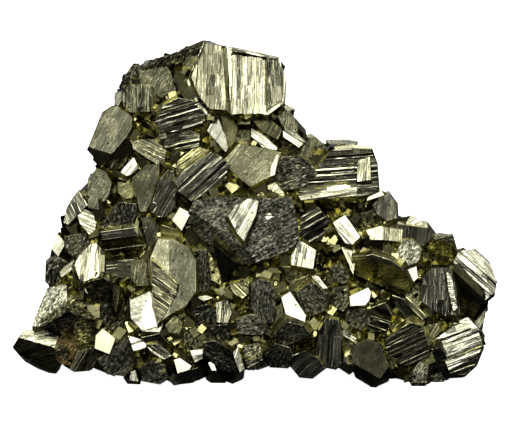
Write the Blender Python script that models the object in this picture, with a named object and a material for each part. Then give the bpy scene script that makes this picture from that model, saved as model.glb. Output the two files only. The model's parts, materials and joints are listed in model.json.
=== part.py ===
"""A free-standing pyrite specimen, about 97 mm wide: striated cubes and pyritohedra grown together
on massive pyrite, broken off flat underneath. One solid, standing on its flat underside.

The crystals are laid out on a drawing sheet that faces the viewer and leans back a little. On the
sheet, x runs right and down runs down, in millimetres from its upper left corner. The third
direction, towards the viewer, is called front.
"""

import math
import random
from typing import NamedTuple

import bmesh
import bpy
import numpy
from mathutils import Euler, Matrix, Vector

MM = 0.001

# Driving dimensions, in millimetres and degrees. First the sheet, and the two surfaces that the
# crystals and the broken back follow.
SHEET_LEAN = 10.0
SHEET_MIDDLE = 50.93
SHEET_FOOT = 77.6
HALF_WIDTH = 48.0
FRONT_AT_FOOT = 20.0
FRONT_SLOPE = 0.10
FRONT_SIDE_FALL = 9.0
BACK_AT_FOOT = -17.0
BACK_SLOPE = 0.13
BACK_SIDE_RISE = 6.0
GROUND_BELOW_SHEET_FOOT = 4.0

# The crystals: how far their sides spread, where they close again, and how deep they reach.
FLARE = 20.0
GIRDLE_SHARE = 0.24
CRYSTAL_DEPTH = 10.0
BLOCK_SIZE = 80.0
SMALL_BREADTH = 5.2
SMALL_FLARE = 9.0
SMALL_DEPTH = 5.5
MERGE_WITHIN = 0.06
FLAT_WITHIN = 0.6

# The massive pyrite behind the crystals, and its underside, which rises towards the front.
CORE_BEHIND_FRONT = 3.4
CORE_INSIDE_BACK = 6.5
MASS_SPACING = 10.5
MASS_RADIUS = 9.0
MASS_EDGE_MARGIN = 2.0
MASS_CORNERS = 16
EDGE_SPACING = 6.5
EDGE_INSET = 4.6
EDGE_RADIUS = 4.2
EDGE_CORNERS = 12
KNOB_DEPTH = (5.0, 7.0)
KNOB_CORNERS = 10
CORNER_REACH = (0.82, 0.98)
CORNER_DRIFT = 0.3
BACK_RELIEF = (-1.5, 3.0)
EDGE_BACK_SHARE = (0.35, 0.75)
UNDERCUT_UP = 4.2
UNDERCUT_BACK_TO = -1.0
UNDERCUT_SLOPE = (0, -0.965, 0.262)

# The small cubes in the gaps between the large crystals.
GRID_STEP = 0.8
GAP_EDGE_MARGIN = 1.2
SMALLEST_GAP = 0.75
FILLER_OVER_GAP = 1.25
FILLER_SMALLEST = 1.3
FILLER_LARGEST = 3.0
FILLER_SUNK = 0.7
FILLER_COVERS = 1.1

# The cubes half buried in the broken back.
BACK_CUBES = 40
BACK_CUBE_SIZE = (2.0, 4.0)
BACK_CUBE_AREA = ((-42.0, 43.0), (6.0, 62.0))
BACK_CUBE_MARGIN = 2.0

TRIANGLES_BEFORE_RIBS = 7250
SEED = 9


class Crystal(NamedTuple):
    """A crystal by its main face: the face's outline on the sheet, which way the face is turned
    (degrees to the right, degrees up), how far it stands in front of the general surface, how much
    its sides spread behind the face, and its bevels: a line across the face, given by two points,
    and the angle by which everything left of that line falls away."""

    name: str
    outline: tuple
    turn: tuple = (0, 0)
    rise: float = 0.0
    flare: float = FLARE
    bevels: tuple = ()


TOP_CRYSTALS = (
    Crystal("summit_block", ((41.0, 8.0), (56.0, 11.3), (57.0, 16.0), (56.8, 20.6), (53.6, 23.4),
                             (41.8, 23.0), (39.6, 19.8), (37.8, 15.4)),
            turn=(2, 13), rise=5.0, flare=6,
            bevels=(((53.0, 8.0), (53.0, 24.0), -16), ((45.8, 24.0), (45.8, 8.0), -8))),
    Crystal("gable_white_face", ((43.2, 22.6), (44.2, 23.6), (44.9, 26.0), (45.6, 29.6), (45.2, 30.6),
                                 (41.4, 26.2)), turn=(-14, 14), rise=2.5),
    Crystal("gable_olive_face", ((44.3, 23.0), (46.4, 23.4), (47.6, 25.6), (46.8, 28.6), (45.6, 30.2),
                                 (44.8, 26.0)), turn=(22, 2), rise=2.4),
    Crystal("upper_left_cube", ((28.0, 14.4), (30.2, 13.8), (33.4, 13.2), (34.2, 14.4), (35.2, 17.8),
                                (32.2, 19.6), (30.4, 17.2), (28.2, 16.8)),
            turn=(8, 4), rise=1.0, flare=14, bevels=(((30.4, 17.4), (30.2, 13.4), 16),)),
    Crystal("upper_left_ribs", ((24.2, 19.4), (25.8, 16.8), (30.2, 17.0), (32.0, 19.6), (30.8, 22.2),
                                (26.2, 22.6), (24.4, 20.8)),
            turn=(-8, -2), rise=1.5, flare=14, bevels=(((30.2, 16.6), (30.0, 22.6), 34),)),
    Crystal("rim_chip", ((22.8, 18.4), (24.0, 18.2), (24.8, 19.0), (23.6, 21.2), (22.8, 20.8)),
            turn=(-14, 14), rise=0.6, flare=12),
    Crystal("left_slab", ((17.6, 29.4), (18.4, 27.4), (20.4, 22.4), (22.2, 21.2), (23.8, 21.4),
                          (26.4, 23.4), (26.4, 25.6), (25.4, 27.4), (21.4, 31.6), (20.8, 32.6),
                          (19.2, 32.6)),
            turn=(-10, 5), rise=3.0, flare=8, bevels=(((21.6, 30.6), (17.2, 29.2), 26),)),
    Crystal("ribbed_slab", ((31.0, 24.4), (32.6, 21.2), (35.6, 19.6), (39.6, 20.2), (41.6, 22.6),
                            (40.2, 25.2), (36.0, 26.4), (31.8, 26.4)),
            turn=(1, -5), rise=2.0),
    Crystal("ribbed_shelf", ((31.6, 26.6), (38.4, 26.0), (40.0, 26.8), (39.8, 29.4), (36.6, 30.0),
                             (33.0, 29.6)), turn=(0, 4), rise=0.8),
    Crystal("pebble_face", ((26.2, 28.4), (28.0, 27.8), (30.6, 27.8), (33.4, 30.0), (32.8, 32.6),
                            (31.6, 32.9), (29.6, 31.8), (26.6, 29.8)), turn=(-4, 6), rise=2.0),
    Crystal("ribbed_block", ((35.0, 36.4), (36.6, 34.2), (42.2, 30.4), (44.4, 31.4), (45.8, 33.0),
                             (45.2, 35.8), (42.8, 37.6), (39.2, 40.0), (38.4, 40.4), (35.6, 38.2)),
            turn=(-2, 0), rise=4.6, flare=12),
    Crystal("gold_steps", ((34.2, 33.2), (36.8, 32.4), (39.2, 29.2), (42.0, 30.0), (40.0, 31.8),
                           (36.4, 34.0)), turn=(-14, 22), rise=0.8),
    Crystal("olive_pentagon", ((47.8, 28.8), (50.0, 29.4), (54.2, 30.0), (55.8, 30.6), (54.8, 35.0),
                               (53.0, 35.6), (50.0, 37.4), (47.8, 35.6), (44.4, 32.4), (46.8, 30.0)),
            turn=(0, 7), rise=3.4,
            bevels=(((54.0, 29.6), (54.0, 36.0), 26), ((45.0, 33.0), (48.2, 28.8), 20))),
    Crystal("slat_white", ((50.2, 25.6), (52.4, 26.8), (55.6, 29.6), (55.2, 30.2), (52.4, 29.4),
                           (50.2, 27.2)), turn=(3, 19), rise=2.2),
    Crystal("mottled_filler", ((47.4, 26.0), (50.0, 26.0), (50.0, 29.0), (48.0, 29.2), (46.8, 28.4)),
            turn=(0, -5), rise=1.0),
    Crystal("under_summit_ribs", ((50.4, 24.0), (54.0, 23.6), (56.4, 26.0), (55.6, 28.0), (52.4, 26.4)),
            turn=(4, 2), rise=1.2),
    Crystal("right_shoulder", ((55.4, 23.2), (57.0, 22.0), (58.2, 22.4), (59.6, 24.8), (59.6, 26.4),
                               (57.0, 26.0)), turn=(10, 4), rise=0.8, flare=14),
    Crystal("shoulder_ribs", ((56.6, 26.0), (58.8, 26.0), (61.0, 28.4), (59.8, 29.6), (56.6, 27.4)),
            turn=(5, 15), rise=1.8, flare=18),
    Crystal("shoulder_dark", ((56.0, 28.2), (59.4, 29.8), (59.2, 31.2), (56.8, 30.4)),
            turn=(0, -22), rise=1.0),
    Crystal("shoulder_knob", ((60.2, 29.8), (62.0, 27.6), (63.0, 27.4), (64.2, 28.4), (64.4, 30.0),
                              (62.4, 31.6), (60.6, 31.4)),
            turn=(8, 3), rise=1.0, flare=14, bevels=(((62.4, 27.0), (62.2, 32.0), 30),)),
)

UPPER_CRYSTALS = (
    Crystal("dark_pentagon", ((56.2, 31.4), (60.0, 31.2), (62.4, 33.0), (63.4, 34.6), (61.0, 37.6),
                              (56.6, 38.0), (55.0, 35.6)), turn=(0, -6), rise=2.4),
    Crystal("small_pale", ((53.0, 35.4), (54.4, 35.2), (56.8, 38.6), (55.8, 39.0), (53.6, 38.0)),
            turn=(0, 14), rise=0.8),
    Crystal("great_ribs", ((59.6, 38.4), (61.0, 37.4), (63.6, 33.4), (66.0, 30.2), (70.4, 29.6),
                           (74.0, 30.2), (75.0, 33.0), (75.4, 38.0), (72.0, 39.4)),
            turn=(-1, -5), rise=3.4, flare=12, bevels=(((70.6, 29.0), (71.4, 40.0), 22),)),
    Crystal("great_ribs_ledge", ((59.4, 38.8), (68.6, 36.8), (71.4, 37.4), (71.4, 39.2), (60.2, 40.2)),
            turn=(0, 15), rise=3.4, flare=20),
    Crystal("dark_cap", ((66.0, 28.9), (69.0, 28.8), (70.8, 29.1), (70.4, 30.2), (66.2, 30.4)),
            turn=(0, -4), rise=-1.0, flare=10),
    Crystal("east_nub_pale", ((73.2, 38.4), (76.2, 38.0), (77.0, 39.0), (73.4, 40.2)),
            turn=(4, 18), rise=1.2, flare=16),
    Crystal("east_nub", ((74.4, 41.0), (76.0, 39.4), (78.0, 39.0), (79.2, 40.6), (79.4, 43.4),
                         (77.4, 44.2), (75.6, 43.0)),
            turn=(5, 3), rise=1.6, flare=12, bevels=(((77.6, 38.6), (77.2, 44.4), 26),)),
    Crystal("under_ribs_dark", ((60.0, 43.6), (63.0, 40.6), (66.0, 44.4), (64.4, 48.0), (62.0, 48.6),
                                (60.0, 47.0)), turn=(3, -4), rise=1.0),
    Crystal("bright_wedge", ((66.6, 44.4), (69.0, 43.0), (70.4, 45.0), (72.0, 47.4), (70.4, 49.0),
                             (69.0, 48.6), (67.0, 45.6)), turn=(2, 18), rise=2.6),
    Crystal("long_wedge", ((68.2, 49.4), (70.8, 48.6), (71.2, 51.6), (70.6, 55.0), (69.6, 52.4)),
            turn=(-4, 12), rise=1.6),
    Crystal("recess_dark_east", ((72.0, 42.6), (75.0, 41.6), (76.6, 44.0), (75.6, 46.6), (72.4, 46.4)),
            turn=(-4, -12), rise=0.0),
    Crystal("heart_block", ((39.2, 40.6), (43.6, 39.6), (49.8, 39.6), (58.4, 39.6), (59.6, 45.0),
                            (59.8, 48.0), (57.6, 50.2), (51.2, 52.6), (48.0, 52.6), (44.4, 50.0),
                            (41.0, 48.0), (37.6, 44.4)),
            turn=(5, -4), rise=5.0, flare=5,
            bevels=(((51.2, 52.8), (45.4, 42.6), 27), ((45.4, 42.6), (45.6, 38.0), 24),
                    ((49.8, 48.8), (49.4, 39.0), 15))),
    Crystal("mirror_chip", ((36.0, 41.4), (38.2, 42.6), (36.4, 46.2), (34.4, 44.0)),
            turn=(-6, 17), rise=4.0, flare=30),
    Crystal("amber_left", ((32.4, 45.0), (35.6, 46.0), (37.2, 48.0), (36.0, 48.8), (34.0, 48.0),
                           (32.0, 46.4)), turn=(-16, -14), rise=2.0),
    Crystal("amber_right", ((37.2, 45.6), (38.6, 45.0), (41.6, 48.0), (40.0, 49.2), (38.0, 49.8),
                            (37.0, 47.6)), turn=(16, -10), rise=2.0),
    Crystal("left_centre_face", ((26.4, 35.6), (29.2, 33.2), (32.0, 32.6), (31.6, 36.0), (30.0, 41.0),
                                 (29.2, 42.4), (28.0, 42.4), (27.6, 38.0)), turn=(-5, 4), rise=2.2),
    Crystal("left_centre_grey", ((30.4, 41.0), (32.0, 36.0), (33.6, 34.0), (34.8, 34.4), (35.2, 38.0),
                                 (35.2, 41.4), (33.0, 43.4), (31.6, 43.4), (30.0, 42.0)),
            turn=(5, -4), rise=2.0),
    Crystal("striped_chip", ((24.0, 34.4), (26.6, 31.0), (27.8, 33.6), (26.2, 35.0), (25.2, 35.2)),
            turn=(4, 17), rise=1.8),
    Crystal("stripe_recess", ((21.2, 30.6), (24.4, 29.0), (26.2, 30.2), (24.4, 33.6), (22.0, 33.8)),
            turn=(4, -8), rise=0.0),
    Crystal("olive_nugget", ((23.4, 36.4), (25.6, 36.0), (27.0, 37.4), (26.6, 39.6), (25.0, 39.8),
                             (23.6, 38.6)), turn=(-6, 8), rise=0.8),
    Crystal("left_tablet", ((19.4, 33.6), (21.2, 34.4), (22.4, 36.6), (21.8, 39.0), (19.6, 42.0),
                            (17.6, 41.6), (17.4, 38.0), (17.6, 35.6)),
            turn=(-8, 4), rise=2.4, flare=14),
    Crystal("left_edge_ribs", ((15.6, 38.0), (17.6, 41.0), (15.0, 43.2), (13.6, 45.0), (12.6, 44.6),
                               (13.2, 41.6), (14.4, 39.6)), turn=(-22, 13), rise=1.4, flare=8),
    Crystal("left_stripes", ((15.4, 43.2), (17.0, 41.8), (19.6, 43.2), (19.0, 46.0), (18.0, 47.2),
                             (16.0, 44.8)), turn=(-4, 14), rise=1.8),
    Crystal("dark_plate", ((20.0, 45.2), (22.4, 42.0), (24.0, 40.4), (27.2, 40.8), (27.6, 43.0),
                           (26.4, 45.2), (21.6, 46.4)), turn=(-5, -8), rise=1.4),
    Crystal("long_prism", ((20.2, 46.4), (27.6, 45.4), (28.4, 47.2), (29.0, 50.0), (28.0, 51.2),
                           (21.2, 52.4), (20.6, 49.0)),
            turn=(0, -6), rise=2.2,
            bevels=(((28.6, 47.7), (20.4, 48.9), 24), ((28.6, 47.0), (20.4, 48.0), 48))),
    Crystal("rosy_sliver", ((27.4, 43.4), (27.8, 44.4), (27.6, 47.0), (26.6, 45.8)),
            turn=(-12, 10), rise=2.4),
    Crystal("grey_filler", ((28.2, 43.6), (30.2, 43.2), (31.8, 45.2), (31.4, 48.6), (29.6, 49.6),
                            (28.8, 46.0)), turn=(3, -3), rise=0.8),
)

MIDDLE_CRYSTALS = (
    Crystal("pale_slab", ((30.4, 51.6), (31.8, 47.8), (35.0, 48.0), (38.0, 49.8), (39.2, 52.0),
                          (39.2, 58.4), (37.2, 61.2), (35.2, 60.4), (32.4, 63.8), (31.2, 60.8)),
            turn=(0, 6), rise=4.4, bevels=(((34.2, 66.0), (34.0, 56.0), 14),)),
    Crystal("pale_slab_flank", ((30.4, 52.0), (32.2, 53.4), (35.6, 56.8), (35.2, 59.0), (32.8, 63.4),
                                (31.6, 64.8), (30.6, 60.0)), turn=(-10, 3), rise=4.8),
    Crystal("granular_pillar_left", ((39.6, 50.0), (41.4, 50.0), (42.0, 53.6), (42.4, 58.2),
                                     (39.8, 58.4)), turn=(5, -6), rise=1.6),
    Crystal("sparkle_strip", ((41.4, 49.8), (42.6, 51.8), (44.2, 54.6), (44.2, 57.0), (42.2, 56.0)),
            turn=(-8, 10), rise=1.4),
    Crystal("black_wedge", ((42.6, 48.6), (47.4, 52.6), (45.6, 56.2), (44.2, 56.2), (43.6, 52.6)),
            turn=(-24, -28), rise=3.0),
    Crystal("olive_shield", ((45.8, 57.0), (48.0, 56.2), (49.8, 56.6), (49.8, 58.6), (48.6, 59.7),
                             (46.8, 58.8)), turn=(-3, 7), rise=2.4),
    Crystal("granular_column", ((50.2, 56.8), (51.8, 55.8), (54.4, 56.4), (55.2, 60.2), (54.6, 64.4),
                                (52.4, 64.8), (50.2, 61.6)), turn=(0, -5), rise=3.0),
    Crystal("olive_recess", ((56.8, 53.2), (60.0, 53.4), (62.4, 54.6), (60.0, 57.2), (57.2, 56.2)),
            turn=(2, -12), rise=1.0),
    Crystal("bright_block", ((59.8, 48.0), (61.0, 48.6), (63.2, 50.0), (62.6, 53.8), (58.2, 53.0),
                             (58.2, 51.2)), turn=(2, 17), rise=2.6),
    Crystal("white_slat", ((62.4, 55.0), (63.6, 55.2), (65.6, 57.6), (64.4, 57.8), (62.2, 56.4)),
            turn=(3, 18), rise=2.2),
    Crystal("dusky_block", ((59.2, 58.4), (62.2, 56.2), (66.0, 59.0), (65.0, 62.0), (62.0, 63.2),
                            (60.0, 61.6)), turn=(2, -7), rise=2.6),
    Crystal("white_shard", ((56.2, 59.4), (58.0, 58.2), (58.6, 60.6), (61.2, 63.0), (60.8, 64.8),
                            (57.4, 64.0)), turn=(-3, 18), rise=3.2),
    Crystal("olive_sliver", ((54.4, 66.6), (56.8, 64.0), (56.4, 60.0), (55.2, 62.0)),
            turn=(-12, -2), rise=2.0),
    Crystal("low_granular", ((47.2, 64.0), (50.0, 62.6), (52.4, 63.6), (53.6, 65.2), (52.4, 67.0),
                             (47.6, 66.8)), turn=(0, -7), rise=2.6),
    Crystal("east_sparkle", ((66.0, 53.6), (68.0, 52.4), (70.0, 55.0), (69.0, 56.8), (66.8, 56.4)),
            turn=(0, -5), rise=1.2),
    Crystal("white_tile", ((69.8, 59.2), (73.6, 57.4), (74.2, 58.4), (73.8, 60.0), (73.0, 61.0),
                           (70.0, 61.2)), turn=(2, 18), rise=3.0),
    Crystal("tile_backing", ((66.4, 57.6), (69.4, 57.2), (70.0, 60.4), (68.6, 62.4), (66.0, 60.6)),
            turn=(-8, -4), rise=1.4),
    Crystal("dark_tablet", ((71.0, 51.6), (74.4, 50.8), (78.0, 52.0), (80.4, 53.6), (82.0, 57.0),
                            (80.8, 59.6), (78.0, 58.4), (74.4, 56.0), (71.0, 55.2)),
            turn=(-1, -8), rise=4.6, bevels=(((81.4, 54.4), (72.0, 50.6), 36),)),
    Crystal("amber_leaf", ((71.0, 51.4), (72.6, 49.4), (74.6, 50.0), (73.6, 51.4)),
            turn=(-5, 12), rise=3.0),
    Crystal("cream_block", ((73.2, 46.0), (76.0, 45.2), (80.4, 45.8), (80.2, 48.0), (74.0, 48.0)),
            turn=(2, 16), rise=2.2, bevels=(((76.4, 44.0), (76.6, 49.0), 14),)),
    Crystal("east_ridge", ((76.4, 46.0), (79.6, 44.8), (85.6, 45.6), (86.8, 47.2), (84.8, 49.2),
                           (80.0, 48.4)), turn=(5, -3), rise=1.4, flare=12),
    Crystal("east_fin", ((77.0, 45.2), (80.4, 43.4), (82.6, 43.0), (85.6, 45.2), (83.0, 46.0)),
            turn=(6, 14), rise=-0.4, flare=10, bevels=(((80.6, 46.0), (82.4, 42.6), 44),)),
    Crystal("pale_boulder", ((79.2, 50.4), (80.6, 48.0), (82.6, 48.0), (84.4, 50.0), (83.6, 52.4),
                             (81.6, 53.2)), turn=(1, 9), rise=3.6),
    Crystal("white_notch", ((80.8, 53.6), (83.2, 52.6), (83.6, 55.6), (82.6, 56.4)),
            turn=(-2, 18), rise=3.0),
    Crystal("brown_cube", ((85.8, 48.2), (87.6, 47.0), (90.4, 47.2), (91.2, 50.0), (90.0, 52.2),
                           (86.4, 51.6), (85.4, 50.0)),
            turn=(-2, -8), rise=2.0, flare=12, bevels=(((91.6, 49.0), (86.0, 47.6), 34),)),
    Crystal("east_ribs", ((90.6, 52.6), (91.8, 50.2), (95.2, 49.8), (98.0, 52.2), (99.4, 56.0),
                          (99.0, 58.6), (97.0, 60.2), (94.0, 57.0)),
            turn=(6, 15), rise=2.2, flare=8, bevels=(((96.4, 49.0), (98.2, 61.0), 20),)),
    Crystal("east_underside", ((90.6, 54.0), (96.2, 59.2), (96.6, 60.2), (94.8, 64.0), (92.4, 63.2),
                               (91.2, 60.0)), turn=(-20, -28), rise=2.2, flare=10),
    Crystal("east_pillar", ((84.4, 55.6), (86.4, 53.6), (89.6, 53.6), (91.0, 58.0), (91.6, 62.6),
                            (89.0, 63.2), (86.4, 62.0), (84.0, 60.0)),
            turn=(-3, -1), rise=4.2, bevels=(((88.6, 53.0), (89.2, 64.0), 18),)),
    Crystal("pillar_gap", ((80.8, 59.0), (83.6, 56.2), (84.4, 60.0), (84.0, 62.0)),
            turn=(-8, 2), rise=1.6),
    Crystal("slant_slat", ((81.0, 59.2), (82.4, 59.6), (85.4, 63.4), (84.4, 64.0), (81.8, 61.4)),
            turn=(-3, 10), rise=3.0),
    Crystal("slant_dark", ((78.4, 59.0), (80.8, 59.8), (84.0, 64.0), (81.6, 64.2), (79.2, 61.6)),
            turn=(-6, -10), rise=2.4),
)

LOWER_LEFT_CRYSTALS = (
    Crystal("west_shards", ((11.4, 46.6), (13.0, 48.6), (11.6, 51.4), (10.2, 49.8)),
            turn=(-6, 16), rise=0.6, flare=10),
    Crystal("west_shoulder", ((13.0, 47.4), (17.0, 46.6), (18.6, 49.6), (15.6, 52.0), (13.0, 50.4)),
            turn=(-4, -6), rise=0.6),
    Crystal("west_dark", ((9.0, 53.2), (11.0, 51.2), (13.6, 52.4), (13.4, 55.6), (10.4, 57.6),
                          (8.9, 56.4)), turn=(-8, -6), rise=0.2, flare=10),
    Crystal("west_stripes", ((11.8, 54.4), (14.6, 51.6), (15.6, 53.2), (12.2, 55.6)),
            turn=(-2, 8), rise=1.4),
    Crystal("striated_cube", ((14.8, 53.0), (15.8, 51.0), (18.2, 48.7), (19.4, 48.6), (20.6, 50.4),
                              (20.6, 55.2), (18.4, 55.8), (16.2, 56.5)),
            turn=(-3, 15), rise=3.6, flare=22, bevels=(((19.5, 48.0), (19.9, 56.0), 34),)),
    Crystal("striped_prow", ((16.0, 56.4), (19.4, 57.0), (17.4, 58.8)), turn=(-4, 10), rise=2.4),
    Crystal("west_pale_plate", ((9.4, 57.6), (13.2, 56.8), (13.6, 62.0), (10.2, 64.2), (8.0, 65.4),
                                (6.4, 65.5), (6.8, 63.8), (8.4, 60.2)),
            turn=(-10, 15), rise=1.8, flare=8),
    Crystal("west_black_face", ((8.8, 65.2), (13.4, 62.2), (19.0, 64.0), (19.4, 67.6), (16.4, 69.4),
                                (12.4, 68.0)), turn=(2, -32), rise=1.2),
    Crystal("west_tip", ((2.4, 69.0), (4.6, 66.2), (6.2, 66.0), (12.0, 66.3), (12.6, 69.0),
                         (11.2, 70.6), (10.8, 73.5), (9.0, 73.2), (5.6, 71.4), (3.4, 70.2)),
            turn=(-4, 16), rise=0.6, flare=6, bevels=(((3.6, 67.5), (12.4, 70.0), -44),)),
    Crystal("rusty_face", ((12.4, 68.0), (15.6, 69.0), (16.2, 70.6), (14.4, 73.4), (12.0, 72.6),
                           (11.2, 70.4)), turn=(2, -10), rise=1.2),
    Crystal("splinter", ((14.0, 73.8), (15.6, 70.2), (18.4, 69.6), (19.4, 72.6), (17.4, 74.2),
                         (15.0, 74.4)), turn=(0, -8), rise=1.4, bevels=(((14.4, 74.4), (17.4, 69.0), 26),)),
    Crystal("dark_hood", ((16.6, 56.6), (20.6, 55.6), (23.0, 56.4), (22.8, 60.6), (21.0, 62.6),
                          (18.8, 61.0)), turn=(0, -30), rise=2.0),
    Crystal("hood_flank", ((22.6, 56.4), (24.4, 57.8), (25.4, 61.6), (23.8, 63.8), (22.6, 61.0)),
            turn=(16, -6), rise=1.6),
    Crystal("olive_gully", ((13.6, 59.4), (16.6, 60.4), (18.2, 63.0), (16.0, 63.4), (13.8, 62.0)),
            turn=(10, 4), rise=0.6),
    Crystal("shelf_block", ((21.0, 52.4), (27.6, 51.4), (28.4, 54.0), (24.6, 56.0), (21.4, 55.2)),
            turn=(0, -2), rise=0.6),
    Crystal("drum", ((26.4, 52.6), (28.4, 51.8), (30.0, 53.0), (29.8, 57.2), (27.4, 57.2),
                     (26.0, 55.6)), turn=(-4, 3), rise=1.4),
    Crystal("white_plate", ((26.0, 60.0), (30.0, 58.2), (32.2, 61.8), (32.6, 65.0), (32.0, 66.4),
                            (28.6, 66.2), (26.2, 63.6)), turn=(-1, 18), rise=3.0),
    Crystal("olive_chip", ((33.0, 65.0), (35.0, 62.8), (36.6, 64.4), (36.2, 66.4), (34.0, 66.6)),
            turn=(0, 6), rise=3.0),
    Crystal("hollow_dark", ((21.6, 58.8), (25.6, 62.0), (25.4, 66.0), (22.0, 66.0), (19.6, 63.6)),
            turn=(2, -10), rise=-0.6),
    Crystal("cream_cube", ((20.6, 65.6), (23.2, 67.6), (22.0, 70.8), (19.0, 69.6), (19.2, 67.0)),
            turn=(0, 17), rise=3.8),
    Crystal("foot_grey_left", ((19.6, 72.0), (23.4, 69.6), (26.0, 67.2), (27.2, 70.0), (26.6, 73.6),
                               (25.0, 75.2), (21.6, 74.8)), turn=(-2, -12), rise=2.4, flare=14),
    Crystal("stepped_white", ((25.6, 67.0), (29.2, 68.0), (29.4, 69.4), (26.8, 70.2), (26.2, 68.4)),
            turn=(2, 18), rise=3.4),
    Crystal("roof_dark", ((28.4, 67.4), (32.0, 66.6), (34.0, 68.8), (31.6, 69.4), (29.2, 68.8)),
            turn=(0, -20), rise=3.0),
    Crystal("striped_prism", ((29.4, 69.0), (31.6, 68.6), (33.6, 70.0), (34.4, 71.0), (33.0, 71.8),
                              (30.4, 70.6)), turn=(-2, 8), rise=3.4),
    Crystal("foot_stripes", ((26.2, 74.2), (27.2, 74.0), (27.8, 76.2), (26.0, 76.0)),
            turn=(2, 10), rise=2.6, flare=12),
    Crystal("foot_dark_left", ((28.0, 73.6), (30.4, 72.0), (33.2, 73.0), (33.6, 75.6), (32.0, 76.8),
                               (28.6, 76.2)), turn=(-2, -10), rise=2.6, flare=12),
    Crystal("foot_point", ((33.6, 75.4), (35.2, 74.4), (36.6, 75.0), (35.6, 76.8), (34.8, 77.0)),
            turn=(-4, -6), rise=1.6, flare=10),
    Crystal("foot_white_tile", ((34.8, 71.8), (36.0, 71.4), (38.4, 73.0), (38.0, 73.8), (35.6, 74.6)),
            turn=(2, 18), rise=4.0, flare=20),
    Crystal("foot_side_dark", ((35.8, 74.4), (39.6, 73.4), (39.4, 75.0), (37.0, 76.0)),
            turn=(2, -22), rise=3.0, flare=12),
)

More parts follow.
